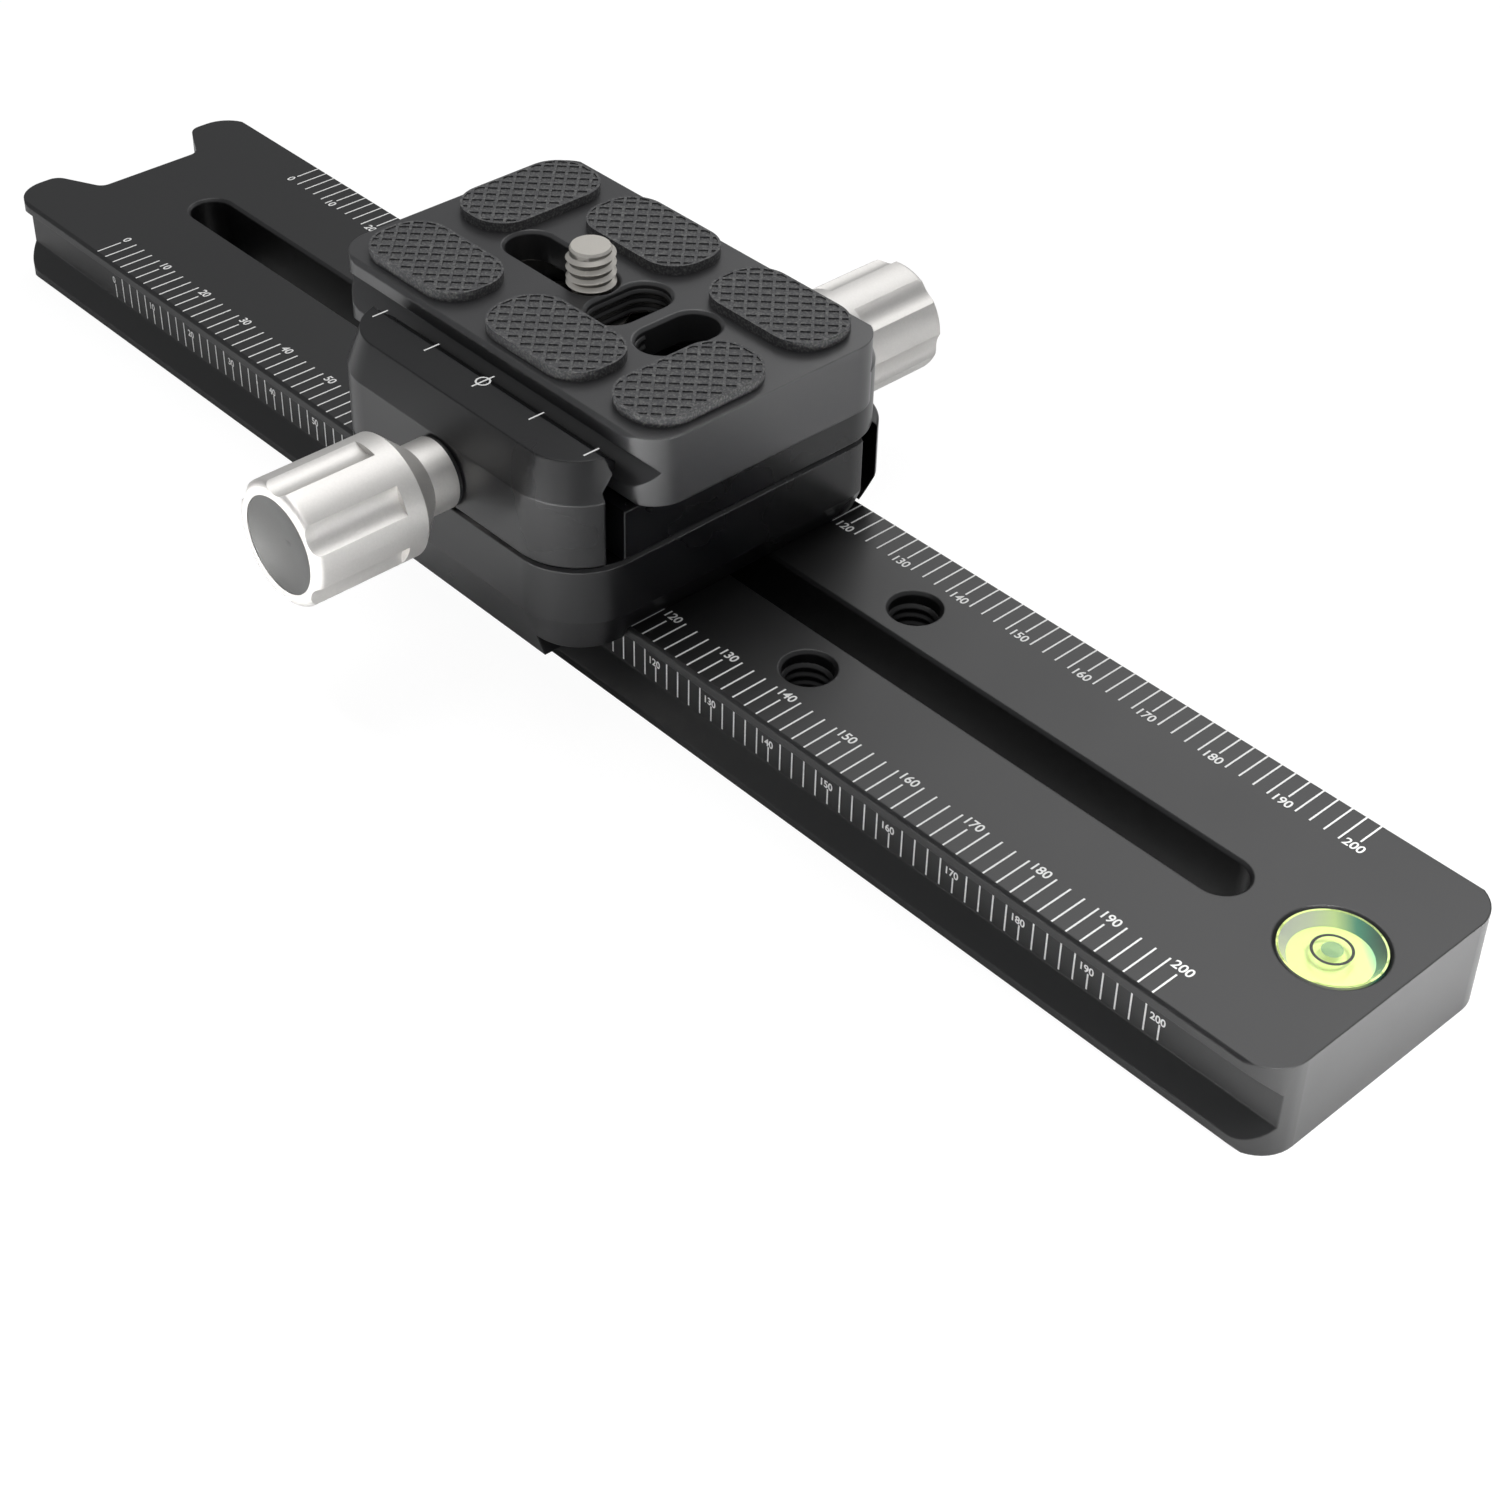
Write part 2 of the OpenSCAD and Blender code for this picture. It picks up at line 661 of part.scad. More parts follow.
// A knob along +Z from its jaw face: collar, cone behind the skirt, fluted skirt and rim
module knob(turn) {
  back_z = washer_h + collar_len;
  difference() {
    rotate_extrude() polygon([[0, washer_h], [collar_r, washer_h], [collar_r, back_z],
      [knob_r, back_z + knob_back_h], [knob_r, knob_len - rim_round],
      for (a = [15:15:75]) [knob_r - rim_round * (1 - cos(a)), knob_len - rim_round * (1 - sin(a))],
      [knob_r - rim_round, knob_len], [0, knob_len]]);
    translate([0, 0, knob_len - dish_depth]) cylinder(d = dish_d, h = dish_depth + over);
    translate([0, 0, -over]) cylinder(d = screw_d + 2 * run_fit, h = screw_in_knob + over);
    for (i = [0:flutes - 1]) rotate([0, 0, turn + i * 360 / flutes])
      translate([knob_r - flute_d + flute_r, 0, flute_start])
        cylinder(r = flute_r, h = knob_len);
  }
}

// The grey insert in the knob's end, dished like a shallow bowl
module knob_cap() {
  half = dish_d / 2 - run_fit;
  bowl_r = (half * half + cap_sag * cap_sag) / (2 * cap_sag);
  translate([0, 0, knob_len - dish_depth]) difference() {
    cylinder(r = half, h = cap_h);
    translate([0, 0, cap_h - cap_sag + bowl_r]) sphere(bowl_r, $fn = 160);
  }
}

// A clamp screw along +Z: the part in the knob above zero, the threaded shank below
module clamp_screw(grip) {
  r = screw_d / 2;
  translate([0, 0, -grip]) rotate_extrude() polygon([[0, 0], [r - screw_tip, 0], [r, screw_tip],
    [r, grip + screw_in_knob], [0, grip + screw_in_knob]]);
}

module knob_washer() {
  difference() {
    cylinder(d = washer_d, h = washer_h);
    translate([0, 0, -over]) cylinder(d = screw_d + 2 * hole_gap, h = washer_h + 2 * over);
  }
}

module at_near_knob() {
  translate([clamp_x, -clamp_near, near_knob_z]) rotate([90, 0, 0]) children();
}

module at_far_knob() {
  translate([clamp_x, clamp_far + far_open, far_knob_z]) rotate([-90, 0, 0]) children();
}

module near_knob() {
  color("gainsboro") at_near_knob() knob(near_flute_turn);
}

module near_knob_cap() {
  color("gray") at_near_knob() knob_cap();
}

module near_screw() {
  color("silver") at_near_knob() clamp_screw(jaw_wall + jaw_gap + near_screw_grip);
}

module near_washer() {
  color([0.1, 0.1, 0.1]) at_near_knob() knob_washer();
}

module far_knob() {
  color("gainsboro") at_far_knob() knob(far_flute_turn);
}

module far_knob_cap() {
  color("gray") at_far_knob() knob_cap();
}

module far_screw() {
  color("silver") at_far_knob() clamp_screw(far_wall + jaw_gap + far_screw_grip);
}

module far_washer() {
  color([0.1, 0.1, 0.1]) at_far_knob() knob_washer();
}

// Everything of the plate is drawn about its own middle, at its height on the bed
module at_plate() {
  translate([plate_x, plate_y, bed_z]) children();
}

module plate_section() {
  c = plate_chamfer;
  w = plate_w / 2;
  d = plate_groove_d;
  right = [[w - c, 0], [w, c], [w, plate_lip_h], [w - d, plate_lip_h + d],
    [w, plate_lip_h + 2 * d], [w, plate_h - c], [w - c, plate_h]];
  left = [for (i = [len(right) - 1:-1:0]) [-right[i][0], right[i][1]]];
  polygon(concat(right, left));
}

module plate_body() {
  color([0.3, 0.3, 0.31]) at_plate() difference() {
    intersection() {
      prism_x(plate_len) plate_section();
      linear_extrude(plate_h) round_rect(plate_len, plate_w, plate_corner_r);
    }
    translate([(plate_slot_x0 + plate_slot_x1) / 2, 0, 0])
      top_slot(plate_slot_x1 - plate_slot_x0, plate_slot_w, 0, plate_h, plate_rim_chamfer);
    for (x = [cross_slot_1_x, cross_slot_2_x]) translate([x, 0, 0]) rotate([0, 0, 90])
      top_slot(cross_slot_len, cross_slot_w, 0, plate_h, plate_rim_chamfer);
    translate([(recess_x0 + recess_x1) / 2, 0, -over])
      linear_extrude(plate_h - plate_floor + over) slot_2d(recess_x1 - recess_x0, recess_w);
    for (side = [-1, 1]) translate([side * stop_reach, stop_y, -over])
      cylinder(d = stop_pin_d, h = stop_pin_grip + over);
  }
}

// A rubber pad: a low slab with square pockets sunk between diagonal ribs, inside a plain border
module pad(x, y, turn) {
  cells = ceil((pad_long + pad_short) / (2 * pad_pitch));
  at_plate() translate([x, y, plate_h]) rotate([0, 0, turn]) difference() {
    linear_extrude(pad_h) round_rect(pad_long, pad_short, pad_r);
    translate([0, 0, pad_h - pad_rib]) linear_extrude(pad_rib + over) intersection() {
      round_rect(pad_long - 2 * pad_border, pad_short - 2 * pad_border, pad_r - pad_border);
      rotate([0, 0, 45]) for (i = [-cells:cells], j = [-cells:cells])
        if (abs(i - j) * pad_step < pad_long / 2 && abs(i + j) * pad_step < pad_short / 2)
          translate([i * pad_pitch, j * pad_pitch]) square(pad_pitch - pad_rib_w, center = true);
    }
  }
}

module pad_1() {
  color([0.12, 0.12, 0.12]) pad(-pad_outer_x, pad_outer_y, 90);
}

module pad_2() {
  color([0.12, 0.12, 0.12]) pad(-pad_mid_x, -pad_mid_y, 0);
}

module pad_3() {
  color([0.12, 0.12, 0.12]) pad(-pad_inner_x, pad_inner_y, 0);
}

module pad_4() {
  color([0.12, 0.12, 0.12]) pad(pad_inner_x, -pad_inner_y, 0);
}

module pad_5() {
  color([0.12, 0.12, 0.12]) pad(pad_mid_x, pad_mid_y, 0);
}

module pad_6() {
  color([0.12, 0.12, 0.12]) pad(pad_outer_x, -pad_outer_y, 90);
}

module stop_pins() {
  color("silver") at_plate() for (side = [-1, 1])
    translate([side * stop_reach, stop_y, -stop_pin_drop])
      cylinder(d = stop_pin_d, h = stop_pin_drop + stop_pin_grip);
}

// The camera screw stands in the long slot, its slotted head in the recess below
module camera_screw() {
  top = plate_h + stud_out;
  r = stud_d / 2;
  color("silver") at_plate() translate([stud_x, 0, 0]) difference() {
    rotate_extrude() polygon([[0, head_up], [head_d / 2, head_up], [head_d / 2, head_up + head_h],
      [neck_d / 2, head_up + head_h], [neck_d / 2, plate_h + neck_out], [r, plate_h + neck_out],
      [r, top - stud_chamfer], [r - stud_chamfer, top], [0, top]]);
    translate([-head_d, -head_slot_w / 2, head_up - over])
      cube([2 * head_d, head_slot_w, head_slot_d + over]);
  }
}

module camera_screw_clip() {
  color("gray") at_plate() translate([stud_x, 0, clip_z - bed_z]) difference() {
    cylinder(d = clip_d, h = clip_h);
    translate([0, 0, -over]) cylinder(d = neck_d + 2 * run_fit, h = clip_h + 2 * over);
  }
}

rail_body();
level_vial();
level_liquid();
level_bubble();
level_ring();
lower_body();
upper_body();
bed_screws();
near_guide_pins();
far_guide_pins();
near_springs();
far_springs();
near_jaw();
near_knob();
near_knob_cap();
near_screw();
near_washer();
far_jaw();
far_knob();
far_knob_cap();
far_screw();
far_washer();
plate_body();
pad_1();
pad_2();
pad_3();
pad_4();
pad_5();
pad_6();
stop_pins();
camera_screw();
camera_screw_clip();
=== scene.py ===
# %% [markdown]
# # A nodal slide rail, dressed for the camera
#
# The metal pieces come in from the CAD model as a fixed frame, at their real size and place.
# This lesson gives each of them its finish, and adds what is too fine for the model:
# the marked scales, the threads and the soft light of a product photograph.

# %% Load the frame
import math

import bmesh
import bpy
from mathutils import Matrix, Vector


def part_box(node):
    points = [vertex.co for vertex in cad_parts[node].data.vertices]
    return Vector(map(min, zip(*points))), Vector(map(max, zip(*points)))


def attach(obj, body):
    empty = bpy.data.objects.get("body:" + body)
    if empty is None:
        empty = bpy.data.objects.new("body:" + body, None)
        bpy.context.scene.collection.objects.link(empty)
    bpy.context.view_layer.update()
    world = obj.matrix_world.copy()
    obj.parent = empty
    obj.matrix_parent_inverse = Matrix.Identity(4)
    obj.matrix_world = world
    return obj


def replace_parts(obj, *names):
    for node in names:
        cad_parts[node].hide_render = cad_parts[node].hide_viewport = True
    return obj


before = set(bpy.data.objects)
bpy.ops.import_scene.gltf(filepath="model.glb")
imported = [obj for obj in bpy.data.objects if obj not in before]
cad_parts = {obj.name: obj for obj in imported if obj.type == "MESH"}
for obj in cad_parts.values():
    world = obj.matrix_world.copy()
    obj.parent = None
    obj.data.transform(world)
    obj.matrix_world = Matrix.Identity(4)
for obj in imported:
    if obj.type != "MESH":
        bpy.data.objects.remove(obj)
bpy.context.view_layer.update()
MM = 0.001

# %% [markdown]
# ## Small helpers
#
# Colours are easiest to read as sRGB hex values, the way a paint program shows them. Blender
# mixes light in linear numbers, so one function turns the one into the other. A second function
# adds a node with its settings and its links, which keeps each material down to a few lines.

# %% Colour and node helpers
def linear(code):
    """Turns "#rrggbb" into linear red, green, blue and alpha."""
    channels = [int(code[i:i + 2], 16) / 255 for i in (1, 3, 5)]
    return [c / 12.92 if c <= 0.04045 else ((c + 0.055) / 1.055) ** 2.4 for c in channels] + [1.0]


def add(tree, kind, settings=None, **links):
    """Adds a node of a kind, sets its properties or inputs, and links its inputs."""
    node = tree.nodes.new(kind)
    for name, value in (settings or {}).items():
        if hasattr(node, name):
            setattr(node, name, value)
        else:
            node.inputs[name].default_value = value
    for name, source in links.items():
        tree.links.new(source, node.inputs[name.replace("_", " ")])
    return node


def new_material(name):
    """Makes an empty material and returns it with its tree and its output's surface socket."""
    material = bpy.data.materials.new(name)
    material.use_nodes = True
    tree = material.node_tree
    tree.nodes.clear()
    output = tree.nodes.new("ShaderNodeOutputMaterial")
    return material, tree, output.inputs["Surface"]


print("mid grey in linear light", round(linear("#808080")[0], 3))

# %% [markdown]
# ## Camera
#
# The photograph looks down on the rail from its near right, with a medium long lens. A camera can
# be set by eye, but then every form is judged from a slightly wrong side. Here its angles came
# from the 2 mm ticks of the scale, which act as a ruler in the picture. The lens shift only puts
# the object where the photograph frames it.

# %% Camera
CAMERA_PLACE = Vector((220.694, -187.871, 212.655)) * MM
AZIMUTH = 45.915
DEPRESSION = 37.300
ROLL = 1.766
FOCAL_PIXELS = 2747.58
FRAME_PIXELS = 1500
CENTRE_PIXEL = (779.006, 621.186)
SENSOR_MM = 36.0
CLIP_START = 0.01

camera_data = bpy.data.cameras.new("camera")
camera = bpy.data.objects.new("camera", camera_data)
bpy.context.collection.objects.link(camera)
turn = Matrix.Rotation(math.radians(AZIMUTH), 4, "Z")
tilt = Matrix.Rotation(math.radians(90 - DEPRESSION), 4, "X")
roll = Matrix.Rotation(math.radians(ROLL), 4, "Z")
camera.matrix_world = Matrix.Translation(CAMERA_PLACE) @ turn @ tilt @ roll
camera_data.sensor_width = SENSOR_MM
camera_data.sensor_fit = "HORIZONTAL"
camera_data.lens = SENSOR_MM * FOCAL_PIXELS / FRAME_PIXELS
camera_data.shift_x = (FRAME_PIXELS / 2 - CENTRE_PIXEL[0]) / FRAME_PIXELS
camera_data.shift_y = (CENTRE_PIXEL[1] - FRAME_PIXELS / 2) / FRAME_PIXELS
camera_data.clip_start = CLIP_START
bpy.context.scene.camera = camera
print("lens", round(camera_data.lens, 2), "mm, shift", round(camera_data.shift_x, 4),
      round(camera_data.shift_y, 4))

# %% [markdown]
# ## Studio
#
# The object stands on a white sweep under large soft lights. What the camera sees of the floor
# is pushed towards pure white through Light Path, so that the picture's ground is white while the
# object is lit at a plain level. A share of the real shading stays, and with it the soft shadow.
# Stronger lamps could whiten the floor as well, but they would wash out the black metal.

# %% View settings, world and floor
scene = bpy.context.scene
scene.view_settings.view_transform = "Standard"

WHITE = "#ffffff"
WORLD_LIGHT = 0.36
FLOOR_SHADE_SHARE = 0.10
FLOOR_GLOW = 1.06
FLOOR_SIZE = 6.0
FLOOR_DROP = 0.02 * MM


def seen_rays(tree):
    """Returns a socket that is 1 for rays from the camera, also where they came through glass."""
    rays = add(tree, "ShaderNodeLightPath")
    either = add(tree, "ShaderNodeMath", {"operation": "MAXIMUM"})
    tree.links.new(rays.outputs["Is Camera Ray"], either.inputs[0])
    tree.links.new(rays.outputs["Is Transmission Ray"], either.inputs[1])
    return either.outputs[0]


world = bpy.data.worlds.new("studio")
scene.world = world
world.use_nodes = True
world_tree = world.node_tree
world_tree.nodes.clear()
soft_light = add(world_tree, "ShaderNodeBackground",
                 {"Color": linear("#f4f5f7"), "Strength": WORLD_LIGHT})
white_ground = add(world_tree, "ShaderNodeBackground", {"Color": linear(WHITE), "Strength": 1.0})
world_mix = add(world_tree, "ShaderNodeMixShader", Fac=seen_rays(world_tree))
world_tree.links.new(soft_light.outputs[0], world_mix.inputs[1])
world_tree.links.new(white_ground.outputs[0], world_mix.inputs[2])
world_out = world_tree.nodes.new("ShaderNodeOutputWorld")
world_tree.links.new(world_mix.outputs[0], world_out.inputs["Surface"])

floor_mesh = bpy.data.meshes.new("floor")
floor = bpy.data.objects.new("floor", floor_mesh)
bpy.context.collection.objects.link(floor)
floor_form = bmesh.new()
bmesh.ops.create_grid(floor_form, x_segments=1, y_segments=1, size=FLOOR_SIZE / 2)
bmesh.ops.translate(floor_form, verts=floor_form.verts, vec=(0, 0, -FLOOR_DROP))
floor_form.to_mesh(floor_mesh)
floor_form.free()

floor_material, floor_tree, floor_surface = new_material("white_paper_sweep")
paper = add(floor_tree, "ShaderNodeBsdfPrincipled",
            {"Base Color": linear("#f2f2f2"), "Roughness": 0.9})
glow = add(floor_tree, "ShaderNodeEmission", {"Color": linear(WHITE), "Strength": FLOOR_GLOW})
floor_share = add(floor_tree, "ShaderNodeMath", {"operation": "MULTIPLY"})
floor_share.inputs[1].default_value = 1 - FLOOR_SHADE_SHARE
floor_tree.links.new(seen_rays(floor_tree), floor_share.inputs[0])
floor_mix = add(floor_tree, "ShaderNodeMixShader", Fac=floor_share.outputs[0])
floor_tree.links.new(paper.outputs[0], floor_mix.inputs[1])
floor_tree.links.new(glow.outputs[0], floor_mix.inputs[2])
floor_tree.links.new(floor_mix.outputs[0], floor_surface)
floor_mesh.materials.append(floor_material)
print("floor", FLOOR_SIZE, "m across")

# %% [markdown]
# ## Lights
#
# Dark satin metal shows the light that it mirrors more than its own colour. Two large boxes hang
# behind and above the object. The other two have a narrow spread and shine straight down on the
# bare floor beside it: the right end face and the near side then mirror bright paper, while no
# lamp strikes them from the front. A lamp aimed at those faces would bleach their tops too.

# %% Lights
def area_light(name, place, target, size, power, spread):
    """A square soft light at a place, facing a target, in metres, watts and degrees of spread."""
    data = bpy.data.lights.new(name, "AREA")
    data.shape = "SQUARE"
    data.size = size
    data.energy = power
    data.spread = math.radians(spread)
    light = bpy.data.objects.new(name, data)
    bpy.context.collection.objects.link(light)
    aim = (Vector(target) - Vector(place)).to_track_quat("-Z", "Y").to_matrix().to_4x4()
    light.matrix_world = Matrix.Translation(place) @ aim
    return light


area_light("back_box", place=(-0.23, 0.60, 0.58), target=(0.02, 0, 0.02), size=0.55,
           power=1.5, spread=180)
area_light("top_box", place=(-0.10, 0.10, 0.80), target=(0, 0, 0), size=0.50,
           power=2.6, spread=180)
area_light("right_floor_box", place=(0.31, 0.03, 0.34), target=(0.31, 0.03, 0), size=0.20,
           power=2.8, spread=50)
area_light("near_floor_box", place=(0.08, -0.29, 0.36), target=(0.08, -0.29, 0), size=0.30,
           power=3.4, spread=40)

# %% [markdown]
# ## Black anodised aluminium
#
# The rail, the clamp and the plate are milled aluminium, blasted to a fine satin and anodised
# black. The dye sits in a hard clear oxide, so the eye sees a nearly black body under a soft
# gloss that turns grey wherever it mirrors the white room. A fine noise stands for the blasted
# grain. The real grain is about 0.05 mm, too fine to show, so it is drawn at 0.25 mm. Milled
# edges are deburred before the dye. A Bevel node rounds them in the shading alone, which draws
# the thin bright line along each edge without a single face more.

# %% Anodised aluminium
GRAIN_MM = 0.25
CLOUD_MM = 18
GLOSS_RANGE = (-0.04, 0.05)
EDGE_ROUND_MM = 0.3


def anodised(name, colour, roughness, grain_mm, grain_height_mm, ior):
    """Satin anodised metal: a dark dye under clear oxide, with a fine grain and soft edges."""
    material, tree, surface = new_material(name)
    place = add(tree, "ShaderNodeTexCoord")
    grain = add(tree, "ShaderNodeTexNoise", {"Scale": 1 / (grain_mm * MM), "Detail": 2.0},
                Vector=place.outputs["Object"])
    cloud = add(tree, "ShaderNodeTexNoise", {"Scale": 1 / (CLOUD_MM * MM), "Detail": 3.0},
                Vector=place.outputs["Object"])
    gloss = add(tree, "ShaderNodeMapRange",
                {"To Min": roughness + GLOSS_RANGE[0], "To Max": roughness + GLOSS_RANGE[1]},
                Value=cloud.outputs["Fac"])
    soft_edge = add(tree, "ShaderNodeBevel", {"samples": 6, "Radius": EDGE_ROUND_MM * MM})
    bump = add(tree, "ShaderNodeBump", {"Strength": 0.25, "Distance": grain_height_mm * MM},
               Height=grain.outputs["Fac"], Normal=soft_edge.outputs["Normal"])
    metal = add(tree, "ShaderNodeBsdfPrincipled",
                {"Base Color": linear(colour), "Metallic": 0.0, "IOR": ior},
                Roughness=gloss.outputs["Result"], Normal=bump.outputs["Normal"])
    tree.links.new(metal.outputs[0], surface)
    return material


# The rail's satin black turns a soft even grey where it is seen at a flat angle.
black_anodised = anodised("black_anodised_aluminium", "#0c0c0d", roughness=0.40,
                          grain_mm=GRAIN_MM, grain_height_mm=0.02, ior=1.6)
# The clamp and its jaws have a finer blast: a deeper black with a tighter sheen.
smooth_anodised = anodised("smooth_black_anodise", "#08080a", roughness=0.28,
                           grain_mm=GRAIN_MM, grain_height_mm=0.01, ior=1.5)
# The plate has a coarser blast: a greyer black whose top stays lit all over.
plate_anodised = anodised("blasted_black_anodise", "#303031", roughness=0.31,
                          grain_mm=GRAIN_MM, grain_height_mm=0.025, ior=1.7)
print(black_anodised.name, "grain", GRAIN_MM, "mm")

# %% [markdown]
# ## Bead-blasted knobs
#
# The two knobs are turned from aluminium, bead blasted and clear anodised. Blasting leaves tiny
# dimples, so the metal looks pale and even, with broad soft highlights. The insert in the
# end of each knob is satin grey metal, dished like a shallow bowl. An image of the dimples could
# be wrapped round each knob, but it would need a seam. A noise in the bump has none, and its
# scale is set in millimetres.

# %% Bare metals
GRAIN_TONES = (0.94, 1.04)


def bare_metal(name, colour, roughness, grain_mm, grain_height_mm):
    """Plain metal whose colour is its reflection, with a fine grain in the bump."""
    material, tree, surface = new_material(name)
    place = add(tree, "ShaderNodeTexCoord")
    grain = add(tree, "ShaderNodeTexNoise", {"Scale": 1 / (grain_mm * MM), "Detail": 2.0},
                Vector=place.outputs["Object"])
    tone = add(tree, "ShaderNodeMapRange", {"To Min": GRAIN_TONES[0], "To Max": GRAIN_TONES[1]},
               Value=grain.outputs["Fac"])
    shade = add(tree, "ShaderNodeVectorMath", {"operation": "SCALE"}, Scale=tone.outputs["Result"])
    shade.inputs[0].default_value = linear(colour)[:3]
    bump = add(tree, "ShaderNodeBump", {"Strength": 0.35, "Distance": grain_height_mm * MM},
               Height=grain.outputs["Fac"])
    metal = add(tree, "ShaderNodeBsdfPrincipled", {"Metallic": 1.0, "Roughness": roughness},
                Base_Color=shade.outputs["Vector"], Normal=bump.outputs["Normal"])
    tree.links.new(metal.outputs[0], surface)
    return material


# Blasted dimples scatter the light, so the knobs are pale with wide soft bands.
blasted_aluminium = bare_metal("bead_blasted_aluminium", "#d8d6d3", roughness=0.56,
                               grain_mm=0.3, grain_height_mm=0.03)
# The satin bowl shades from light to dark across its width.
grey_insert = bare_metal("satin_grey_insert", "#5c5c5b", roughness=0.38,
                         grain_mm=0.2, grain_height_mm=0.01)
# Turned stainless steel is warm grey, with a small bright highlight on each edge.
stainless = bare_metal("stainless_steel", "#e0dcd4", roughness=0.36,
                       grain_mm=0.15, grain_height_mm=0.004)
# Drawn wire is smoother, with long thin highlights.
spring_wire = bare_metal("spring_wire", "#9a9a9a", roughness=0.3,
                         grain_mm=0.2, grain_height_mm=0.004)
print("metals", [m.name for m in (blasted_aluminium, grey_insert, stainless, spring_wire)])

# %% [markdown]
# ## Rubber and nylon
#
# The pads are moulded black rubber with a diamond grid, matte and slightly dusty. The washers are
# black nylon. Both come out of a mould with a rough skin, so one noise gives the pale specks and
# the bump together. A photograph of the rubber could do it too, but would not tile at this size.

# %% Rubber and nylon
SPECK_START = 0.45
SPECK_FULL = 0.75


def moulded(name, colour, dust, roughness, speck_mm, bump_mm):
    """Matte moulded plastic or rubber with pale specks and a rough skin."""
    material, tree, surface = new_material(name)
    place = add(tree, "ShaderNodeTexCoord")
    specks = add(tree, "ShaderNodeTexNoise", {"Scale": 1 / (speck_mm * MM), "Detail": 4.0},
                 Vector=place.outputs["Object"])
    tint = add(tree, "ShaderNodeValToRGB", Fac=specks.outputs["Fac"])
    tint.color_ramp.elements[0].position = SPECK_START
    tint.color_ramp.elements[0].color = linear(colour)
    tint.color_ramp.elements[1].position = SPECK_FULL
    tint.color_ramp.elements[1].color = linear(dust)
    bump = add(tree, "ShaderNodeBump", {"Strength": 0.6, "Distance": bump_mm * MM},
               Height=specks.outputs["Fac"])
    skin = add(tree, "ShaderNodeBsdfPrincipled", {"Roughness": roughness},
               Base_Color=tint.outputs["Color"], Normal=bump.outputs["Normal"])
    tree.links.new(skin.outputs[0], surface)
    return material


# Rubber is a dusty dark grey without a clear highlight.
rubber = moulded("moulded_rubber", "#424244", "#747472", roughness=0.66,
                 speck_mm=0.30, bump_mm=0.03)
# Nylon is a dull black with a faint sheen.
nylon = moulded("black_nylon", "#101011", "#1c1c1d", roughness=0.5,
                speck_mm=0.8, bump_mm=0.01)
print("moulded", [m.name for m in (rubber, nylon)])

# %% [markdown]
# ## Acrylic, liquid and print
#
# The level's cup is clear acrylic and the liquid in it is tinted yellow-green. Real refraction in
# so small a cup needs many light bounces and leaves noise. The lid is therefore a thin veil that
# lets the view fall straight through. The liquid's light is painted: it glows a little, and its
# tone turns to a painted shade towards the far right, as the light does in a real level. The cup's
# wall is coloured with painted light and shade, and its edge with a painted highlight. The marks
# and the level's ring are matte print.

# %% Acrylic, liquid and print
ACRYLIC_IOR = 1.49
WAVE_MM = 4
VEIL_CHANGE = 0.03
# The direction in which the level's painted shade deepens.
PAINTED_SHADE_DIRECTION = (0.64, 0.77, 0.0)
MIDWAY = 0.5


def clear_plastic(name, colour, roughness, opacity):
    """Clear plastic as a thin veil: light falls straight through it to what lies behind."""
    material, tree, surface = new_material(name)
    place = add(tree, "ShaderNodeTexCoord")
    waves = add(tree, "ShaderNodeTexNoise", {"Scale": 1 / (WAVE_MM * MM)},
                Vector=place.outputs["Object"])
    veil = add(tree, "ShaderNodeMapRange",
               {"To Min": opacity - VEIL_CHANGE, "To Max": opacity + VEIL_CHANGE},
               Value=waves.outputs["Fac"])
    skin = add(tree, "ShaderNodeBsdfPrincipled",
               {"Base Color": linear(colour), "Roughness": roughness, "IOR": ACRYLIC_IOR},
               Alpha=veil.outputs["Result"])
    tree.links.new(skin.outputs[0], surface)
    return material


def lit_liquid(name, tones, centre, radius, glow_strength):
    """Painted light: a glow of its own and painted light and shade, left to far right."""
    material, tree, surface = new_material(name)
    place = add(tree, "ShaderNodeTexCoord")
    from_middle = add(tree, "ShaderNodeMapping", Vector=place.outputs["Object"])
    from_middle.inputs["Location"].default_value = [-c / radius for c in centre]
    from_middle.inputs["Scale"].default_value = [1 / radius] * 3
    towards = add(tree, "ShaderNodeVectorMath", {"operation": "DOT_PRODUCT"})
    tree.links.new(from_middle.outputs["Vector"], towards.inputs[0])
    towards.inputs[1].default_value = PAINTED_SHADE_DIRECTION
    share = add(tree, "ShaderNodeMapRange", {"From Min": -1.0, "From Max": 1.0},
                Value=towards.outputs["Value"])
    tint = add(tree, "ShaderNodeValToRGB", Fac=share.outputs["Result"])
    while len(tint.color_ramp.elements) < len(tones):
        tint.color_ramp.elements.new(MIDWAY)
    for element, (position, colour) in zip(tint.color_ramp.elements, tones):
        element.position = position
        element.color = linear(colour)
    glow = add(tree, "ShaderNodeBsdfPrincipled",
               {"Roughness": 0.2, "Emission Strength": glow_strength},
               Base_Color=tint.outputs["Color"], Emission_Color=tint.outputs["Color"])
    tree.links.new(glow.outputs[0], surface)
    return material


print("acrylic bends light with an index of", ACRYLIC_IOR)

# %% Materials of the level and the marks
# Each tone is a place from 0 at the left to 1 at the far right, with its colour. The liquid's
# own tint turns to painted shade at the far right; the wall's tones are painted light and shade,
# and the rim's are a painted highlight.
LIQUID_TINT_AND_PAINTED_SHADE = ((0.0, "#c6dc7e"), (0.80, "#c6dc7e"), (0.92, "#5fb58a"))
WALL_PAINTED_LIGHT_AND_SHADE = ((0.0, "#a4a5a2"), (0.40, "#b0b8a2"), (0.62, "#b4c98a"), (0.80, "#3c7f6a"),
              (1.0, "#222f2a"))
RIM_PAINTED_HIGHLIGHT = ((0.0, "#dcf08c"), (1.0, "#c3db8b"))

vial_low, vial_high = [Vector(corner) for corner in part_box("level_vial")]
vial_middle = (vial_low + vial_high) / 2
vial_r = (vial_high.x - vial_low.x) / 2
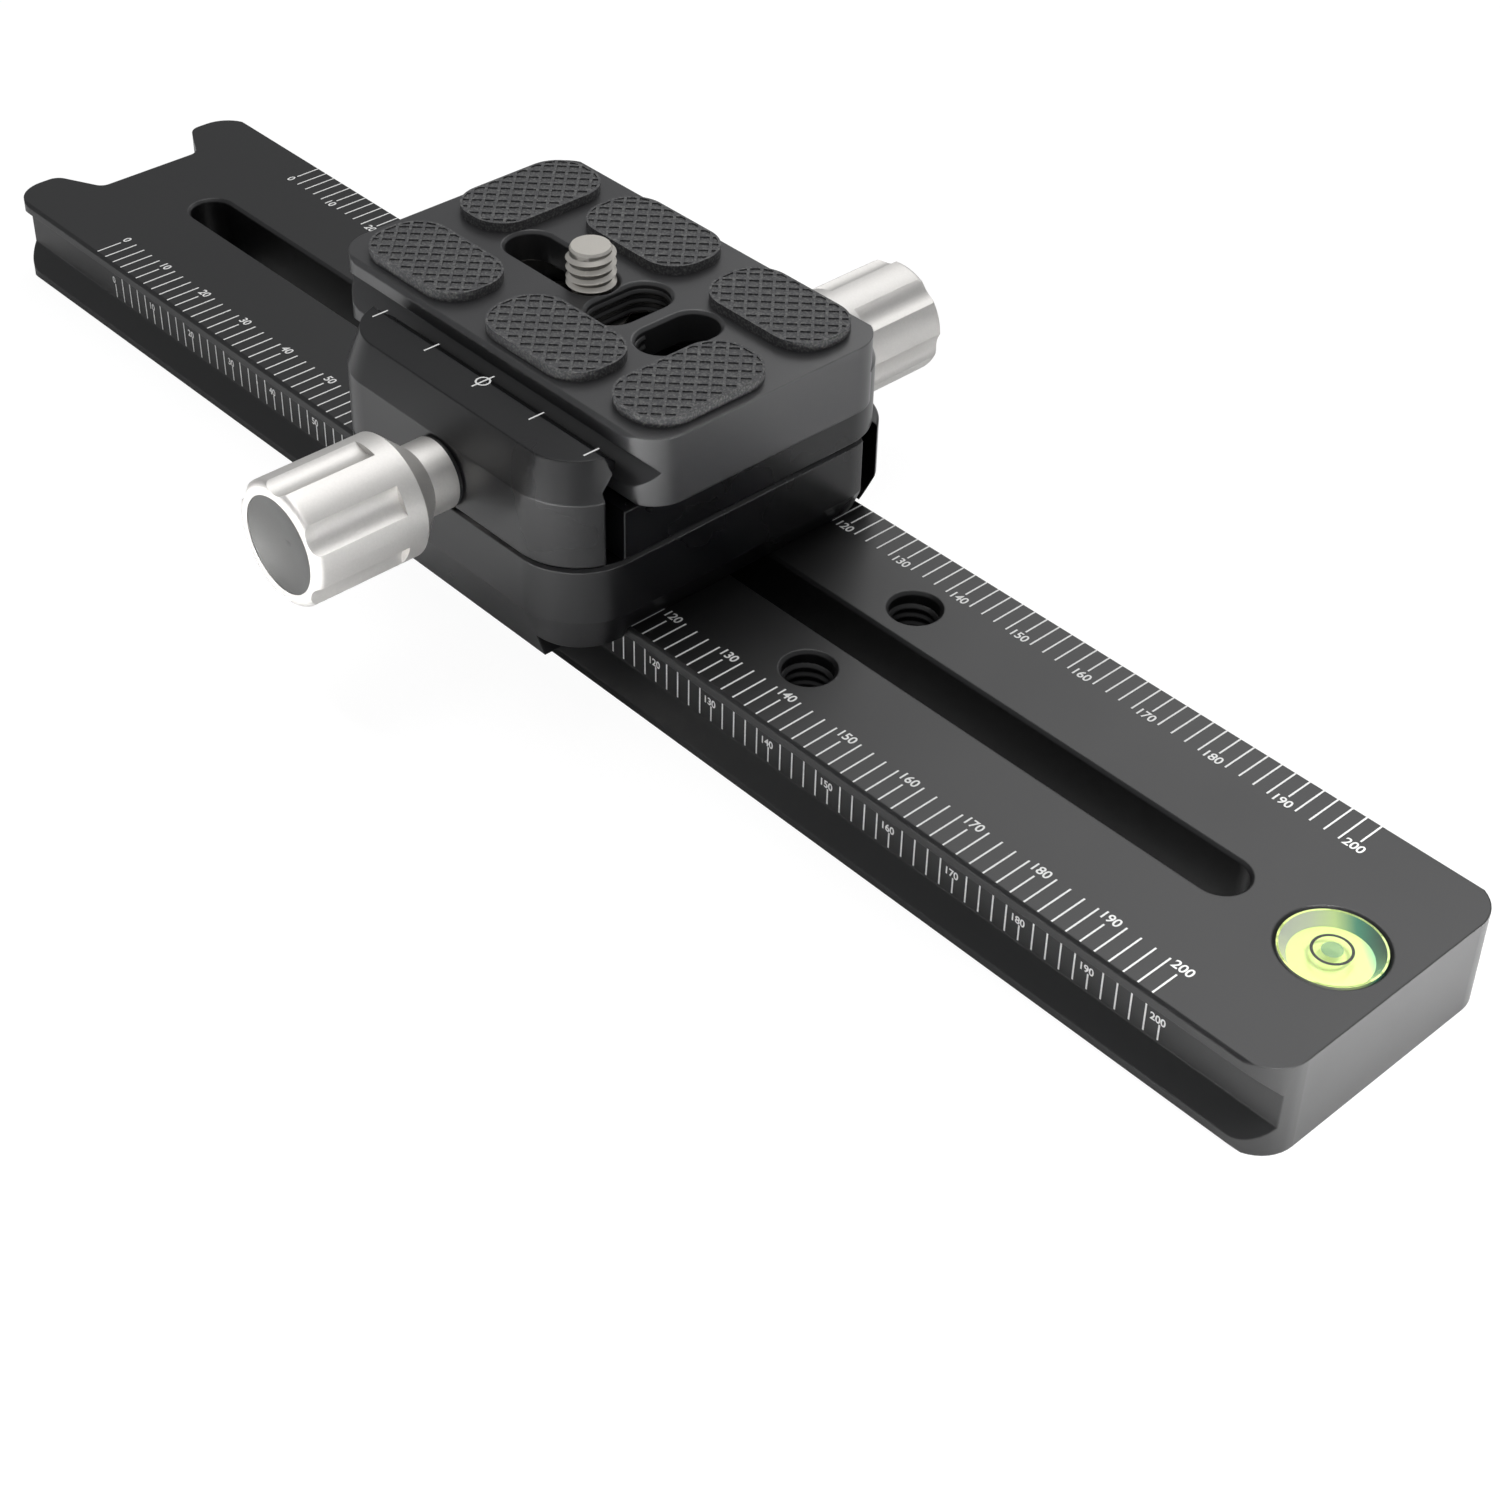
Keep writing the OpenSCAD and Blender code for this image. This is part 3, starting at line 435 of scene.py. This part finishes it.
# The lid shows only by its sheen, and the bubble as a slightly darker disc.
acrylic = clear_plastic("clear_acrylic", "#b4bab0", roughness=0.05, opacity=0.07)
air = clear_plastic("air_bubble", "#6f9f74", roughness=0.05, opacity=0.5)
# The liquid glows yellow-green as painted light, and the clear wall carries painted light and
# shade up to a painted highlight on its thin edge.
liquid = lit_liquid("level_liquid_painted_glow_and_shade", LIQUID_TINT_AND_PAINTED_SHADE, vial_middle, vial_r,
                    glow_strength=0.35)
wall_painted_light_and_shade = lit_liquid("cup_wall_painted_light_and_shade", WALL_PAINTED_LIGHT_AND_SHADE, vial_middle, vial_r, glow_strength=0.12)
rim_painted_highlight = lit_liquid("acrylic_edge_painted_highlight", RIM_PAINTED_HIGHLIGHT, vial_middle, vial_r, glow_strength=0.1)
# Laser marks are matte white, and the printed ring is flat black.
laser_white = moulded("laser_mark_white", "#e9e9e7", "#f6f6f5", roughness=0.6,
                      speck_mm=0.3, bump_mm=0.004)
ring_ink = moulded("ring_ink_black", "#030303", "#080808", roughness=0.6,
                   speck_mm=0.3, bump_mm=0.002)
print("level", round(2 * vial_r / MM, 1), "mm across")

# %% [markdown]
# ## Finishes on the frame
#
# One table names the finish of every piece that comes in from the CAD model. A table is easier to
# check against the real object than a line for each piece.

# %% Materials on the CAD nodes
PAD_COUNT = 6
FINISHES = {
    "rail_body": black_anodised, "lower_body": smooth_anodised, "upper_body": smooth_anodised,
    "near_jaw": smooth_anodised, "far_jaw": smooth_anodised, "plate_body": plate_anodised,
    "near_knob": blasted_aluminium, "far_knob": blasted_aluminium,
    "near_knob_cap": grey_insert, "far_knob_cap": grey_insert,
    "near_screw": stainless, "far_screw": stainless, "bed_screws": stainless,
    "near_guide_pins": stainless, "far_guide_pins": stainless, "stop_pins": stainless,
    "near_springs": spring_wire, "far_springs": spring_wire, "camera_screw_clip": spring_wire,
    "camera_screw": stainless, "near_washer": nylon, "far_washer": nylon,
    "level_vial": acrylic, "level_liquid": liquid, "level_bubble": air, "level_ring": ring_ink,
}
for number in range(1, PAD_COUNT + 1):
    FINISHES["pad_%d" % number] = rubber
for name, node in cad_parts.items():
    node.data.materials.clear()
    node.data.materials.append(FINISHES[name])
print("finished nodes", len(FINISHES))

# %% [markdown]
# ## Scales
#
# The scales are burnt into the black oxide with a laser, which leaves thin matte white lines
# with no thickness to speak of. An image on the metal could carry them, but it blurs in a close
# view. Here each line is a flat bar that stands a hair above the metal, and stays sharp. A tick
# stands every 2 mm. Every fifth one is shorter and carries its number at its inner end.

# %% Build marks
MARK_RISE = 0.03 * MM
TICK_WIDTH = 0.24 * MM
TICK_STEP_MM = 2
NUMBER_STEP_MM = 10
SCALE_END_MM = 200
SCALE_ZERO_X = -96.7 * MM
NUMERAL_SHARE = 0.7  # a numeral's height as a share of the font's size


def bar(form, x0, x1, y0, y1):
    """Adds a flat rectangle to a form, in the plane z = 0."""
    corners = [form.verts.new((x, y, 0)) for x, y in ((x0, y0), (x1, y0), (x1, y1), (x0, y1))]
    form.faces.new(corners)


def number_mesh(text, height, bold):
    """Returns a mesh of flat numerals, centred on the origin, with the given height."""
    curve = bpy.data.curves.new("numeral", "FONT")
    curve.body = text
    curve.align_x = "CENTER"
    curve.align_y = "CENTER"
    curve.size = height / NUMERAL_SHARE
    curve.offset = bold
    holder = bpy.data.objects.new("numeral", curve)
    bpy.context.collection.objects.link(holder)
    mesh = bpy.data.meshes.new_from_object(holder)
    bpy.data.objects.remove(holder)
    bpy.data.curves.remove(curve)
    return mesh


def scale_form(long_tick, short_tick, number_gap, number_height, bold):
    """A scale in its own plane: x along it from zero, y from the outer edge inwards."""
    form = bmesh.new()
    for mm in range(0, SCALE_END_MM + 1, TICK_STEP_MM):
        x = mm * MM
        numbered = mm % NUMBER_STEP_MM == 0
        start, end = short_tick if numbered else long_tick
        bar(form, x - TICK_WIDTH / 2, x + TICK_WIDTH / 2, start, end)
        if numbered:
            mesh = number_mesh(str(mm), number_height, bold)
            mesh.transform(Matrix.Translation((x + number_gap[0], number_gap[1], 0)))
            form.from_mesh(mesh)
            bpy.data.meshes.remove(mesh)
    return form


print("marks stand", MARK_RISE / MM, "mm above the metal")

# %% [markdown]
# ## From a form to a piece
#
# Every new piece ends in the same way: its form becomes a mesh, gets its material, and is told
# which body it rides on. Its normals are set here too. Smooth shading with a plain mean bends the
# light on flats that meet a small fillet, so each normal is weighted by the area of its faces,
# and edges sharper than a fillet's step stay crisp.

# %% Copies, normals and pieces
SHARP_ANGLE = math.radians(14)  # a fillet's steps turn 8 to 10 degrees, the jaw's edges 16 or more
MERGE = 0.001 * MM


def area_normals(mesh):
    """For each corner, the mean normal of the faces that meet there smoothly, by their area."""
    meeting = {}
    for face in mesh.polygons:
        for index in face.vertices:
            meeting.setdefault(index, []).append((face.normal.copy(), face.area))
    normals = []
    for face in mesh.polygons:
        own = face.normal.copy()
        for index in face.vertices:
            smooth = [normal * area for normal, area in meeting[index]
                      if normal.dot(own) > math.cos(SHARP_ANGLE)]
            normals.append(sum(smooth, Vector()).normalized() if smooth else own)
    return normals


def merged_copy(name):
    """A copy of a frame node's mesh as a form, with its doubled vertices merged."""
    form = bmesh.new()
    form.from_mesh(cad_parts[name].data)
    bmesh.ops.remove_doubles(form, verts=form.verts, dist=MERGE)
    return form


def finish_piece(form, name, material, body):
    """Turns a form into a piece that rides on a body, without the stored normals of a copy."""
    mesh = bpy.data.meshes.new(name)
    form.to_mesh(mesh)
    form.free()
    stored = mesh.attributes.get("custom_normal")
    if stored:
        mesh.attributes.remove(stored)
    mesh.shade_smooth()
    mesh.normals_split_custom_set(area_normals(mesh))
    mesh.materials.append(material)
    piece = bpy.data.objects.new(name, mesh)
    bpy.context.collection.objects.link(piece)
    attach(piece, body)
    return piece


print("edges stay sharp from", round(math.degrees(SHARP_ANGLE)), "degrees")

# %% Top scales
rail_low, rail_high = [Vector(corner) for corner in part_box("rail_body")]
TOP_EDGE_Y = 19.3 * MM
TOP_LONG = 5.25 * MM
TOP_SHORT = 3.85 * MM
TOP_NUMBER_SHIFT = (-0.1 * MM, 4.95 * MM)
TOP_NUMBER_HEIGHT = 1.25 * MM
BOLD = 0.035 * MM

near_scale = scale_form((0, TOP_LONG), (0, TOP_SHORT), TOP_NUMBER_SHIFT, TOP_NUMBER_HEIGHT, BOLD)
bmesh.ops.translate(near_scale, verts=near_scale.verts,
                    vec=(SCALE_ZERO_X, -TOP_EDGE_Y, rail_high.z + MARK_RISE))
finish_piece(near_scale, "near_top_scale", laser_white, "rail")

far_scale = scale_form((-TOP_LONG, 0), (-TOP_SHORT, 0), (TOP_NUMBER_SHIFT[0], -TOP_NUMBER_SHIFT[1]),
                       TOP_NUMBER_HEIGHT, BOLD)
bmesh.ops.translate(far_scale, verts=far_scale.verts,
                    vec=(SCALE_ZERO_X, TOP_EDGE_Y, rail_high.z + MARK_RISE))
finish_piece(far_scale, "far_top_scale", laser_white, "rail")
print("top scales from 0 to", SCALE_END_MM)

# %% Side scales
WEB_Y = 17.15 * MM
SIDE_LONG = (4.35 * MM, 8.3 * MM)
SIDE_SHORT = (4.35 * MM, 6.6 * MM)
SIDE_NUMBER_SHIFT = (-0.3 * MM, 7.1 * MM)
SIDE_NUMBER_HEIGHT = 1.0 * MM

for side, name in ((-1, "near_side_scale"), (1, "far_side_scale")):
    side_scale = scale_form(SIDE_LONG, SIDE_SHORT, SIDE_NUMBER_SHIFT, SIDE_NUMBER_HEIGHT, BOLD)
    upright = Matrix.Rotation(math.radians(90), 4, "X")
    if side > 0:
        middle = SCALE_END_MM / 2 * MM
        upright = (Matrix.Translation((middle, 0, 0)) @ Matrix.Rotation(math.radians(180), 4, "Z")
                   @ upright @ Matrix.Translation((-middle, 0, 0)))
    bmesh.ops.transform(side_scale, matrix=upright, verts=side_scale.verts)
    bmesh.ops.translate(side_scale, verts=side_scale.verts,
                        vec=(SCALE_ZERO_X, side * (WEB_Y + MARK_RISE), 0))
    finish_piece(side_scale, name, laser_white, "rail")
print("side scales from 0 to", SCALE_END_MM)

# %% [markdown]
# ## Marks on the jaw
#
# The near jaw carries four short lines and a ring with a line through it, which marks the middle.
# The lines are the same flat bars. The ring is two circles bridged to a band, which is simpler
# than cutting a disc, and it stands a hair higher than its line so that the two don't flicker.

# %% Marks on the plate jaw
jaw_top = Vector(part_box("near_jaw")[1]).z
JAW_MARKS_X_MM = (-21.3, -11.0, 8.9, 18.8)
JAW_MARK_Y = (-24.0 * MM, -21.7 * MM)
CENTRE_MARK_X = -1.0 * MM
CENTRE_MARK_Y = (-24.6 * MM, -21.2 * MM)
CENTRE_RING_R = 0.85 * MM
CENTRE_RING_RISE = MARK_RISE / 3
RING_STEPS = 40

jaw_marks = bmesh.new()
for x_mm in JAW_MARKS_X_MM:
    bar(jaw_marks, x_mm * MM - TICK_WIDTH / 2, x_mm * MM + TICK_WIDTH / 2, *JAW_MARK_Y)
bar(jaw_marks, CENTRE_MARK_X - TICK_WIDTH / 2, CENTRE_MARK_X + TICK_WIDTH / 2, *CENTRE_MARK_Y)
rings = []
for r in (CENTRE_RING_R - TICK_WIDTH / 2, CENTRE_RING_R + TICK_WIDTH / 2):
    circle = bmesh.ops.create_circle(jaw_marks, segments=RING_STEPS, radius=r)
    bmesh.ops.translate(jaw_marks, verts=circle["verts"],
                        vec=(CENTRE_MARK_X, sum(CENTRE_MARK_Y) / 2, CENTRE_RING_RISE))
    rings += list({edge for vert in circle["verts"] for edge in vert.link_edges})
bmesh.ops.bridge_loops(jaw_marks, edges=rings)
bmesh.ops.recalc_face_normals(jaw_marks, faces=jaw_marks.faces)
for face in jaw_marks.faces:
    if face.normal.z < 0:
        face.normal_flip()
bmesh.ops.translate(jaw_marks, verts=jaw_marks.verts, vec=(0, 0, jaw_top + MARK_RISE))
finish_piece(jaw_marks, "jaw_marks", laser_white, "near_jaw")
print("jaw marks", len(JAW_MARKS_X_MM) + 1)

# %% [markdown]
# ## Clean shading on the milled bodies
#
# A flat face next to a fillet looks dented when both share plain mean normals. Here each big
# body is a copy whose flat triangles are joined into whole faces, and whose normals follow the
# larger face, so flats stay flat and the fillets alone turn the light.

# %% Smoothed bodies
FLAT_ANGLE = math.radians(0.2)
SMOOTHED = (("near_jaw", "near_jaw", smooth_anodised), ("far_jaw", "far_jaw", smooth_anodised),
            ("lower_body", "clamp", smooth_anodised), ("upper_body", "clamp", smooth_anodised),
            ("plate_body", "plate", plate_anodised))
for node_name, body, material in SMOOTHED:
    form = merged_copy(node_name)
    bmesh.ops.dissolve_limit(form, angle_limit=FLAT_ANGLE, verts=form.verts, edges=form.edges)
    piece = finish_piece(form, "smoothed_" + node_name, material, body)
    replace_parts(piece, node_name)
    print(node_name, len(piece.data.polygons), "faces")

# %% [markdown]
# ## Threads
#
# The tapped holes and the camera screw carry the 1/4 inch photographic thread, 20 turns to the
# inch. A tap or a die cuts such a thread along a helix. A stack of rings looks much the same from
# afar, but its lines never climb. Here a small triangle is spun round the hole's axis and rises
# a little at each step, which is the motion of the tap.

# %% Thread ridges
THREAD_PITCH = 1.27 * MM
THREAD_DEPTH = 0.5 * MM
RIDGE_HALF = 0.5 * MM
ROOT_SINK = 0.05 * MM
TURN_STEPS = 28


def ridge_section(form, base, crest_r, low_z):
    """Adds the ridge's triangle, with its foot at a point, and returns its vertices and edges."""
    points = ((base.x, low_z), (crest_r, low_z + RIDGE_HALF), (base.x, low_z + 2 * RIDGE_HALF))
    verts = [form.verts.new((r, base.y, z)) for r, z in points]
    edges = [form.edges.new((verts[i], verts[(i + 1) % 3])) for i in range(3)]
    return verts, edges


def thread(form, middle, base_r, crest_r, low_z, high_z):
    """Winds a ridge up a cylinder about a vertical axis, and closes both of its ends."""
    foot = Vector((middle.x + base_r, middle.y))
    verts, edges = ridge_section(form, foot, middle.x + crest_r, low_z)
    steps = round((high_z - low_z - 2 * RIDGE_HALF) / THREAD_PITCH * TURN_STEPS)
    form.faces.new(verts)
    spun = bmesh.ops.spin(form, geom=verts + edges, cent=(middle.x, middle.y, 0), axis=(0, 0, 1),
                          dvec=(0, 0, THREAD_PITCH / TURN_STEPS), steps=steps,
                          angle=math.tau * steps / TURN_STEPS, use_merge=False)
    form.faces.new([item for item in spun["geom_last"] if isinstance(item, bmesh.types.BMVert)])


print("one turn rises", THREAD_PITCH / MM, "mm")

# %% Threads of the rail's tapped holes
HOLE_R = 3.175 * MM
HOLE_PLACES_MM = ((0, 0), (41.1, 8.9), (41.1, -8.9))
HOLE_RIM = 0.75 * MM

hole_threads = bmesh.new()
for x_mm, y_mm in HOLE_PLACES_MM:
    thread(hole_threads, Vector((x_mm * MM, y_mm * MM)), HOLE_R + ROOT_SINK,
           HOLE_R - THREAD_DEPTH, rail_low.z + HOLE_RIM, rail_high.z - HOLE_RIM)
bmesh.ops.recalc_face_normals(hole_threads, faces=hole_threads.faces)
print("hole threads", len(hole_threads.faces), "faces")
finish_piece(hole_threads, "tapped_threads", black_anodised, "rail")

# %% The camera screw's thread
screw_low, screw_high = [Vector(corner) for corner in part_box("camera_screw")]
plate_top = Vector(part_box("plate_body")[1]).z
screw_middle = (screw_low + screw_high) / 2
ROOT_R = HOLE_R - THREAD_DEPTH
SCREW_TOP_PLAIN = 0.15 * MM

camera_screw = merged_copy("camera_screw")
for vert in camera_screw.verts:
    out = Vector((vert.co.x - screw_middle.x, vert.co.y - screw_middle.y))
    if vert.co.z > plate_top and out.length > ROOT_R:
        out.length = ROOT_R
        vert.co.x, vert.co.y = screw_middle.x + out.x, screw_middle.y + out.y
thread_foot = plate_top - THREAD_DEPTH
thread(camera_screw, Vector((screw_middle.x, screw_middle.y)), ROOT_R - ROOT_SINK, HOLE_R,
       thread_foot, screw_high.z - SCREW_TOP_PLAIN)
foot_start = Vector((screw_middle.x + ROOT_R - ROOT_SINK, screw_middle.y))
foot_verts, foot_edges = ridge_section(camera_screw, foot_start, screw_middle.x + HOLE_R,
                                       thread_foot)
bmesh.ops.spin(camera_screw, geom=foot_verts + foot_edges, axis=(0, 0, 1), angle=math.tau,
               cent=(screw_middle.x, screw_middle.y, 0), dvec=(0, 0, 0), steps=2 * TURN_STEPS,
               use_merge=True)
bmesh.ops.recalc_face_normals(camera_screw, faces=camera_screw.faces)
screw_piece = finish_piece(camera_screw, "threaded_camera_screw", stainless,
                           "camera_screw")
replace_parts(screw_piece, "camera_screw")
print("camera screw stands", round((screw_high.z - plate_top) / MM, 2), "mm above the plate")

# %% [markdown]
# ## Pads
#
# The moulded grid of the pads is shallow, so light still reaches the floor of each little
# pocket and only its far wall is dark. The frame's pockets are deeper than that. Here each pad is
# a copy whose pocket floors are raised, with the same outline and the same grid.

# %% Shallow pads
POCKET_SHARE = 0.65
HEIGHT_STEP = 0.01 * MM
FLOOR_REACH = 0.05 * MM

for number in range(1, PAD_COUNT + 1):
    pad_name = "pad_%d" % number
    pad = merged_copy(pad_name)
    heights = sorted({round(vert.co.z / HEIGHT_STEP) for vert in pad.verts})
    pocket_z, top_z = [height * HEIGHT_STEP for height in heights[-2:]]
    for vert in pad.verts:
        if abs(vert.co.z - pocket_z) < FLOOR_REACH:
            vert.co.z = top_z - (top_z - pocket_z) * POCKET_SHARE
    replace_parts(finish_piece(pad, "moulded_" + pad_name, rubber, "plate"), pad_name)
print("pads with pockets", round((top_z - pocket_z) * POCKET_SHARE / MM, 2), "mm deep")

# %% [markdown]
# ## The bubble level
#
# A round level is a clear cup of dyed liquid, closed by a lid with a ring printed under it.
# The frame's liquid, bubble and ring are facetted, which shows through the clear lid, so
# they're turned again here with more steps. The bubble is pressed flat against the lid.

# %% Level pieces
LEVEL_STEPS = 72
LEVEL_EASE = 0.02 * MM
RING_R = 2.2 * MM
RING_LINE = 0.34 * MM
BUBBLE_R = 1.2 * MM
BUBBLE_RIM_SHARE = 0.72
BUBBLE_FLAT_SHARE = 0.66
BUBBLE_SKIN = LEVEL_EASE / 4
PRINT_DEPTH = 0.3 * MM
FINE_MERGE = 0.0005 * MM
liquid_low, liquid_high = [Vector(corner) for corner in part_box("level_liquid")]
level_axis = Vector(((liquid_low.x + liquid_high.x) / 2, (liquid_low.y + liquid_high.y) / 2, 0))


def turned(profile):
    """Spins a profile of (radius, height) points round the level's axis, as on a lathe."""
    form = bmesh.new()
    verts = [form.verts.new(level_axis + Vector((r, 0, z))) for r, z in profile]
    edges = [form.edges.new(pair) for pair in zip(verts, verts[1:])]
    bmesh.ops.spin(form, geom=verts + edges, cent=level_axis, axis=(0, 0, 1), dvec=(0, 0, 0),
                   angle=math.tau, steps=LEVEL_STEPS, use_merge=True)
    bmesh.ops.remove_doubles(form, verts=form.verts, dist=FINE_MERGE)
    bmesh.ops.recalc_face_normals(form, faces=form.faces)
    return form


liquid_r = (liquid_high.x - liquid_low.x) / 2 - LEVEL_EASE
liquid_top = liquid_high.z - 2 * LEVEL_EASE
# The liquid's material glows and turns to painted shade at its far right.
fill = turned(((0, liquid_low.z + LEVEL_EASE), (liquid_r, liquid_low.z + LEVEL_EASE),
               (liquid_r, liquid_top), (0, liquid_top)))
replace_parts(finish_piece(fill, "level_fill", liquid, "rail"), "level_liquid")

print_low = vial_high.z - PRINT_DEPTH
print_high = print_low + LEVEL_EASE
ring_in, ring_out = RING_R - RING_LINE / 2, RING_R + RING_LINE / 2
ring = turned(((ring_in, print_low), (ring_out, print_low), (ring_out, print_high),
               (ring_in, print_high), (ring_in, print_low)))
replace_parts(finish_piece(ring, "level_print", ring_ink, "rail"), "level_ring")

rim_r = BUBBLE_R * BUBBLE_RIM_SHARE
flat_r = BUBBLE_R * BUBBLE_FLAT_SHARE
bubble = turned(((0, print_low), (rim_r, print_low), (BUBBLE_R, print_low),
                 (BUBBLE_R, print_high), (rim_r, print_high),
                 (flat_r, print_low + BUBBLE_SKIN), (0, print_low + BUBBLE_SKIN)))
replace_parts(finish_piece(bubble, "pressed_bubble", air, "rail"), "level_bubble")
print("bubble", round(2 * BUBBLE_R / MM, 1), "mm across")

# %% The cup's wall and its edge, coloured with painted light and shade
WALL_R = vial_r - LEVEL_EASE
WALL_THICK = 0.25 * MM
WALL_IN = WALL_R - WALL_THICK
wall_top = vial_high.z - LEVEL_EASE
wall_foot = liquid_top + LEVEL_EASE
# The wall's colour is painted light and shade, with a faint glow.
wall = turned(((liquid_r, wall_foot), (WALL_R, wall_foot), (WALL_R, wall_top),
               (WALL_IN, wall_top), (liquid_r, wall_foot)))
finish_piece(wall, "level_cup_wall", wall_painted_light_and_shade, "rail")
# The thin edge glows with a painted highlight.
rim = turned(((WALL_IN, wall_top), (WALL_R, wall_top), (WALL_R, vial_high.z),
              (WALL_IN, vial_high.z), (WALL_IN, wall_top)))
finish_piece(rim, "level_rim_painted_highlight", rim_painted_highlight, "rail")
print("level pieces turned in", LEVEL_STEPS, "steps")

# %% [markdown]
# ## Ribbed slot walls
#
# The two short slots of the plate were opened with the same tap, so their walls keep a few
# ribs. A bump could shade them, but not their outline against the light. Each rib is the thread's
# triangle. In the first slot it is spun half a turn round each end and drawn straight along its
# sides; in the second it is spun only round the near end, where a tapped hole opens into it.

# %% Ribs in the short slots
FIRST_SLOT_X = -0.7 * MM
SECOND_SLOT_X = 8.4 * MM
SHORT_SLOT_Y = -0.55 * MM
SHORT_SLOT_RUN = 2.55 * MM
SHORT_SLOT_R = 3.25 * MM
RIB_COUNT = 3
RIB_STEPS = 16
RIB_TOP = 0.8 * MM
RIB_DEPTH = 0.35 * MM


def slot_rib(form, middle, low_z):
    """Adds one closed rib round a slot that is long in Y."""
    start = Vector((middle.x + SHORT_SLOT_R + ROOT_SINK, middle.y + SHORT_SLOT_RUN))
    verts, edges = ridge_section(form, start, middle.x + SHORT_SLOT_R - RIB_DEPTH, low_z)
    for end in (1, -1):
        spun = bmesh.ops.spin(form, geom=verts + edges, axis=(0, 0, 1), angle=math.pi,
                              cent=(middle.x, middle.y + end * SHORT_SLOT_RUN, 0),
                              dvec=(0, 0, 0), steps=RIB_STEPS, use_merge=False)
        last = [item for item in spun["geom_last"] if isinstance(item, bmesh.types.BMEdge)]
        drawn = bmesh.ops.extrude_edge_only(form, edges=last)["geom"]
        verts = [item for item in drawn if isinstance(item, bmesh.types.BMVert)]
        edges = [item for item in drawn if isinstance(item, bmesh.types.BMEdge)
                 and all(vert in verts for vert in item.verts)]
        bmesh.ops.translate(form, verts=verts, vec=(0, -end * 2 * SHORT_SLOT_RUN, 0))


def end_rib(form, middle, low_z):
    """Adds a rib round the near end of a slot only, where a tapped hole opens into it."""
    start = Vector((middle.x - SHORT_SLOT_R - ROOT_SINK, middle.y - SHORT_SLOT_RUN))
    verts, edges = ridge_section(form, start, middle.x - SHORT_SLOT_R + RIB_DEPTH, low_z)
    form.faces.new(verts)
    spun = bmesh.ops.spin(form, geom=verts + edges, axis=(0, 0, 1), angle=math.pi,
                          cent=(middle.x, middle.y - SHORT_SLOT_RUN, 0),
                          dvec=(0, 0, 0), steps=RIB_STEPS, use_merge=False)
    form.faces.new([item for item in spun["geom_last"] if isinstance(item, bmesh.types.BMVert)])


slot_ribs = bmesh.new()
for number in range(RIB_COUNT):
    low_z = plate_top - RIB_TOP - 2 * RIDGE_HALF - number * THREAD_PITCH
    slot_rib(slot_ribs, Vector((FIRST_SLOT_X, SHORT_SLOT_Y)), low_z)
    end_rib(slot_ribs, Vector((SECOND_SLOT_X, SHORT_SLOT_Y)), low_z)
bmesh.ops.remove_doubles(slot_ribs, verts=slot_ribs.verts, dist=MERGE)
bmesh.ops.recalc_face_normals(slot_ribs, faces=slot_ribs.faces)
print("slot ribs", len(slot_ribs.faces), "faces")
finish_piece(slot_ribs, "slot_ribs", black_anodised, "plate")
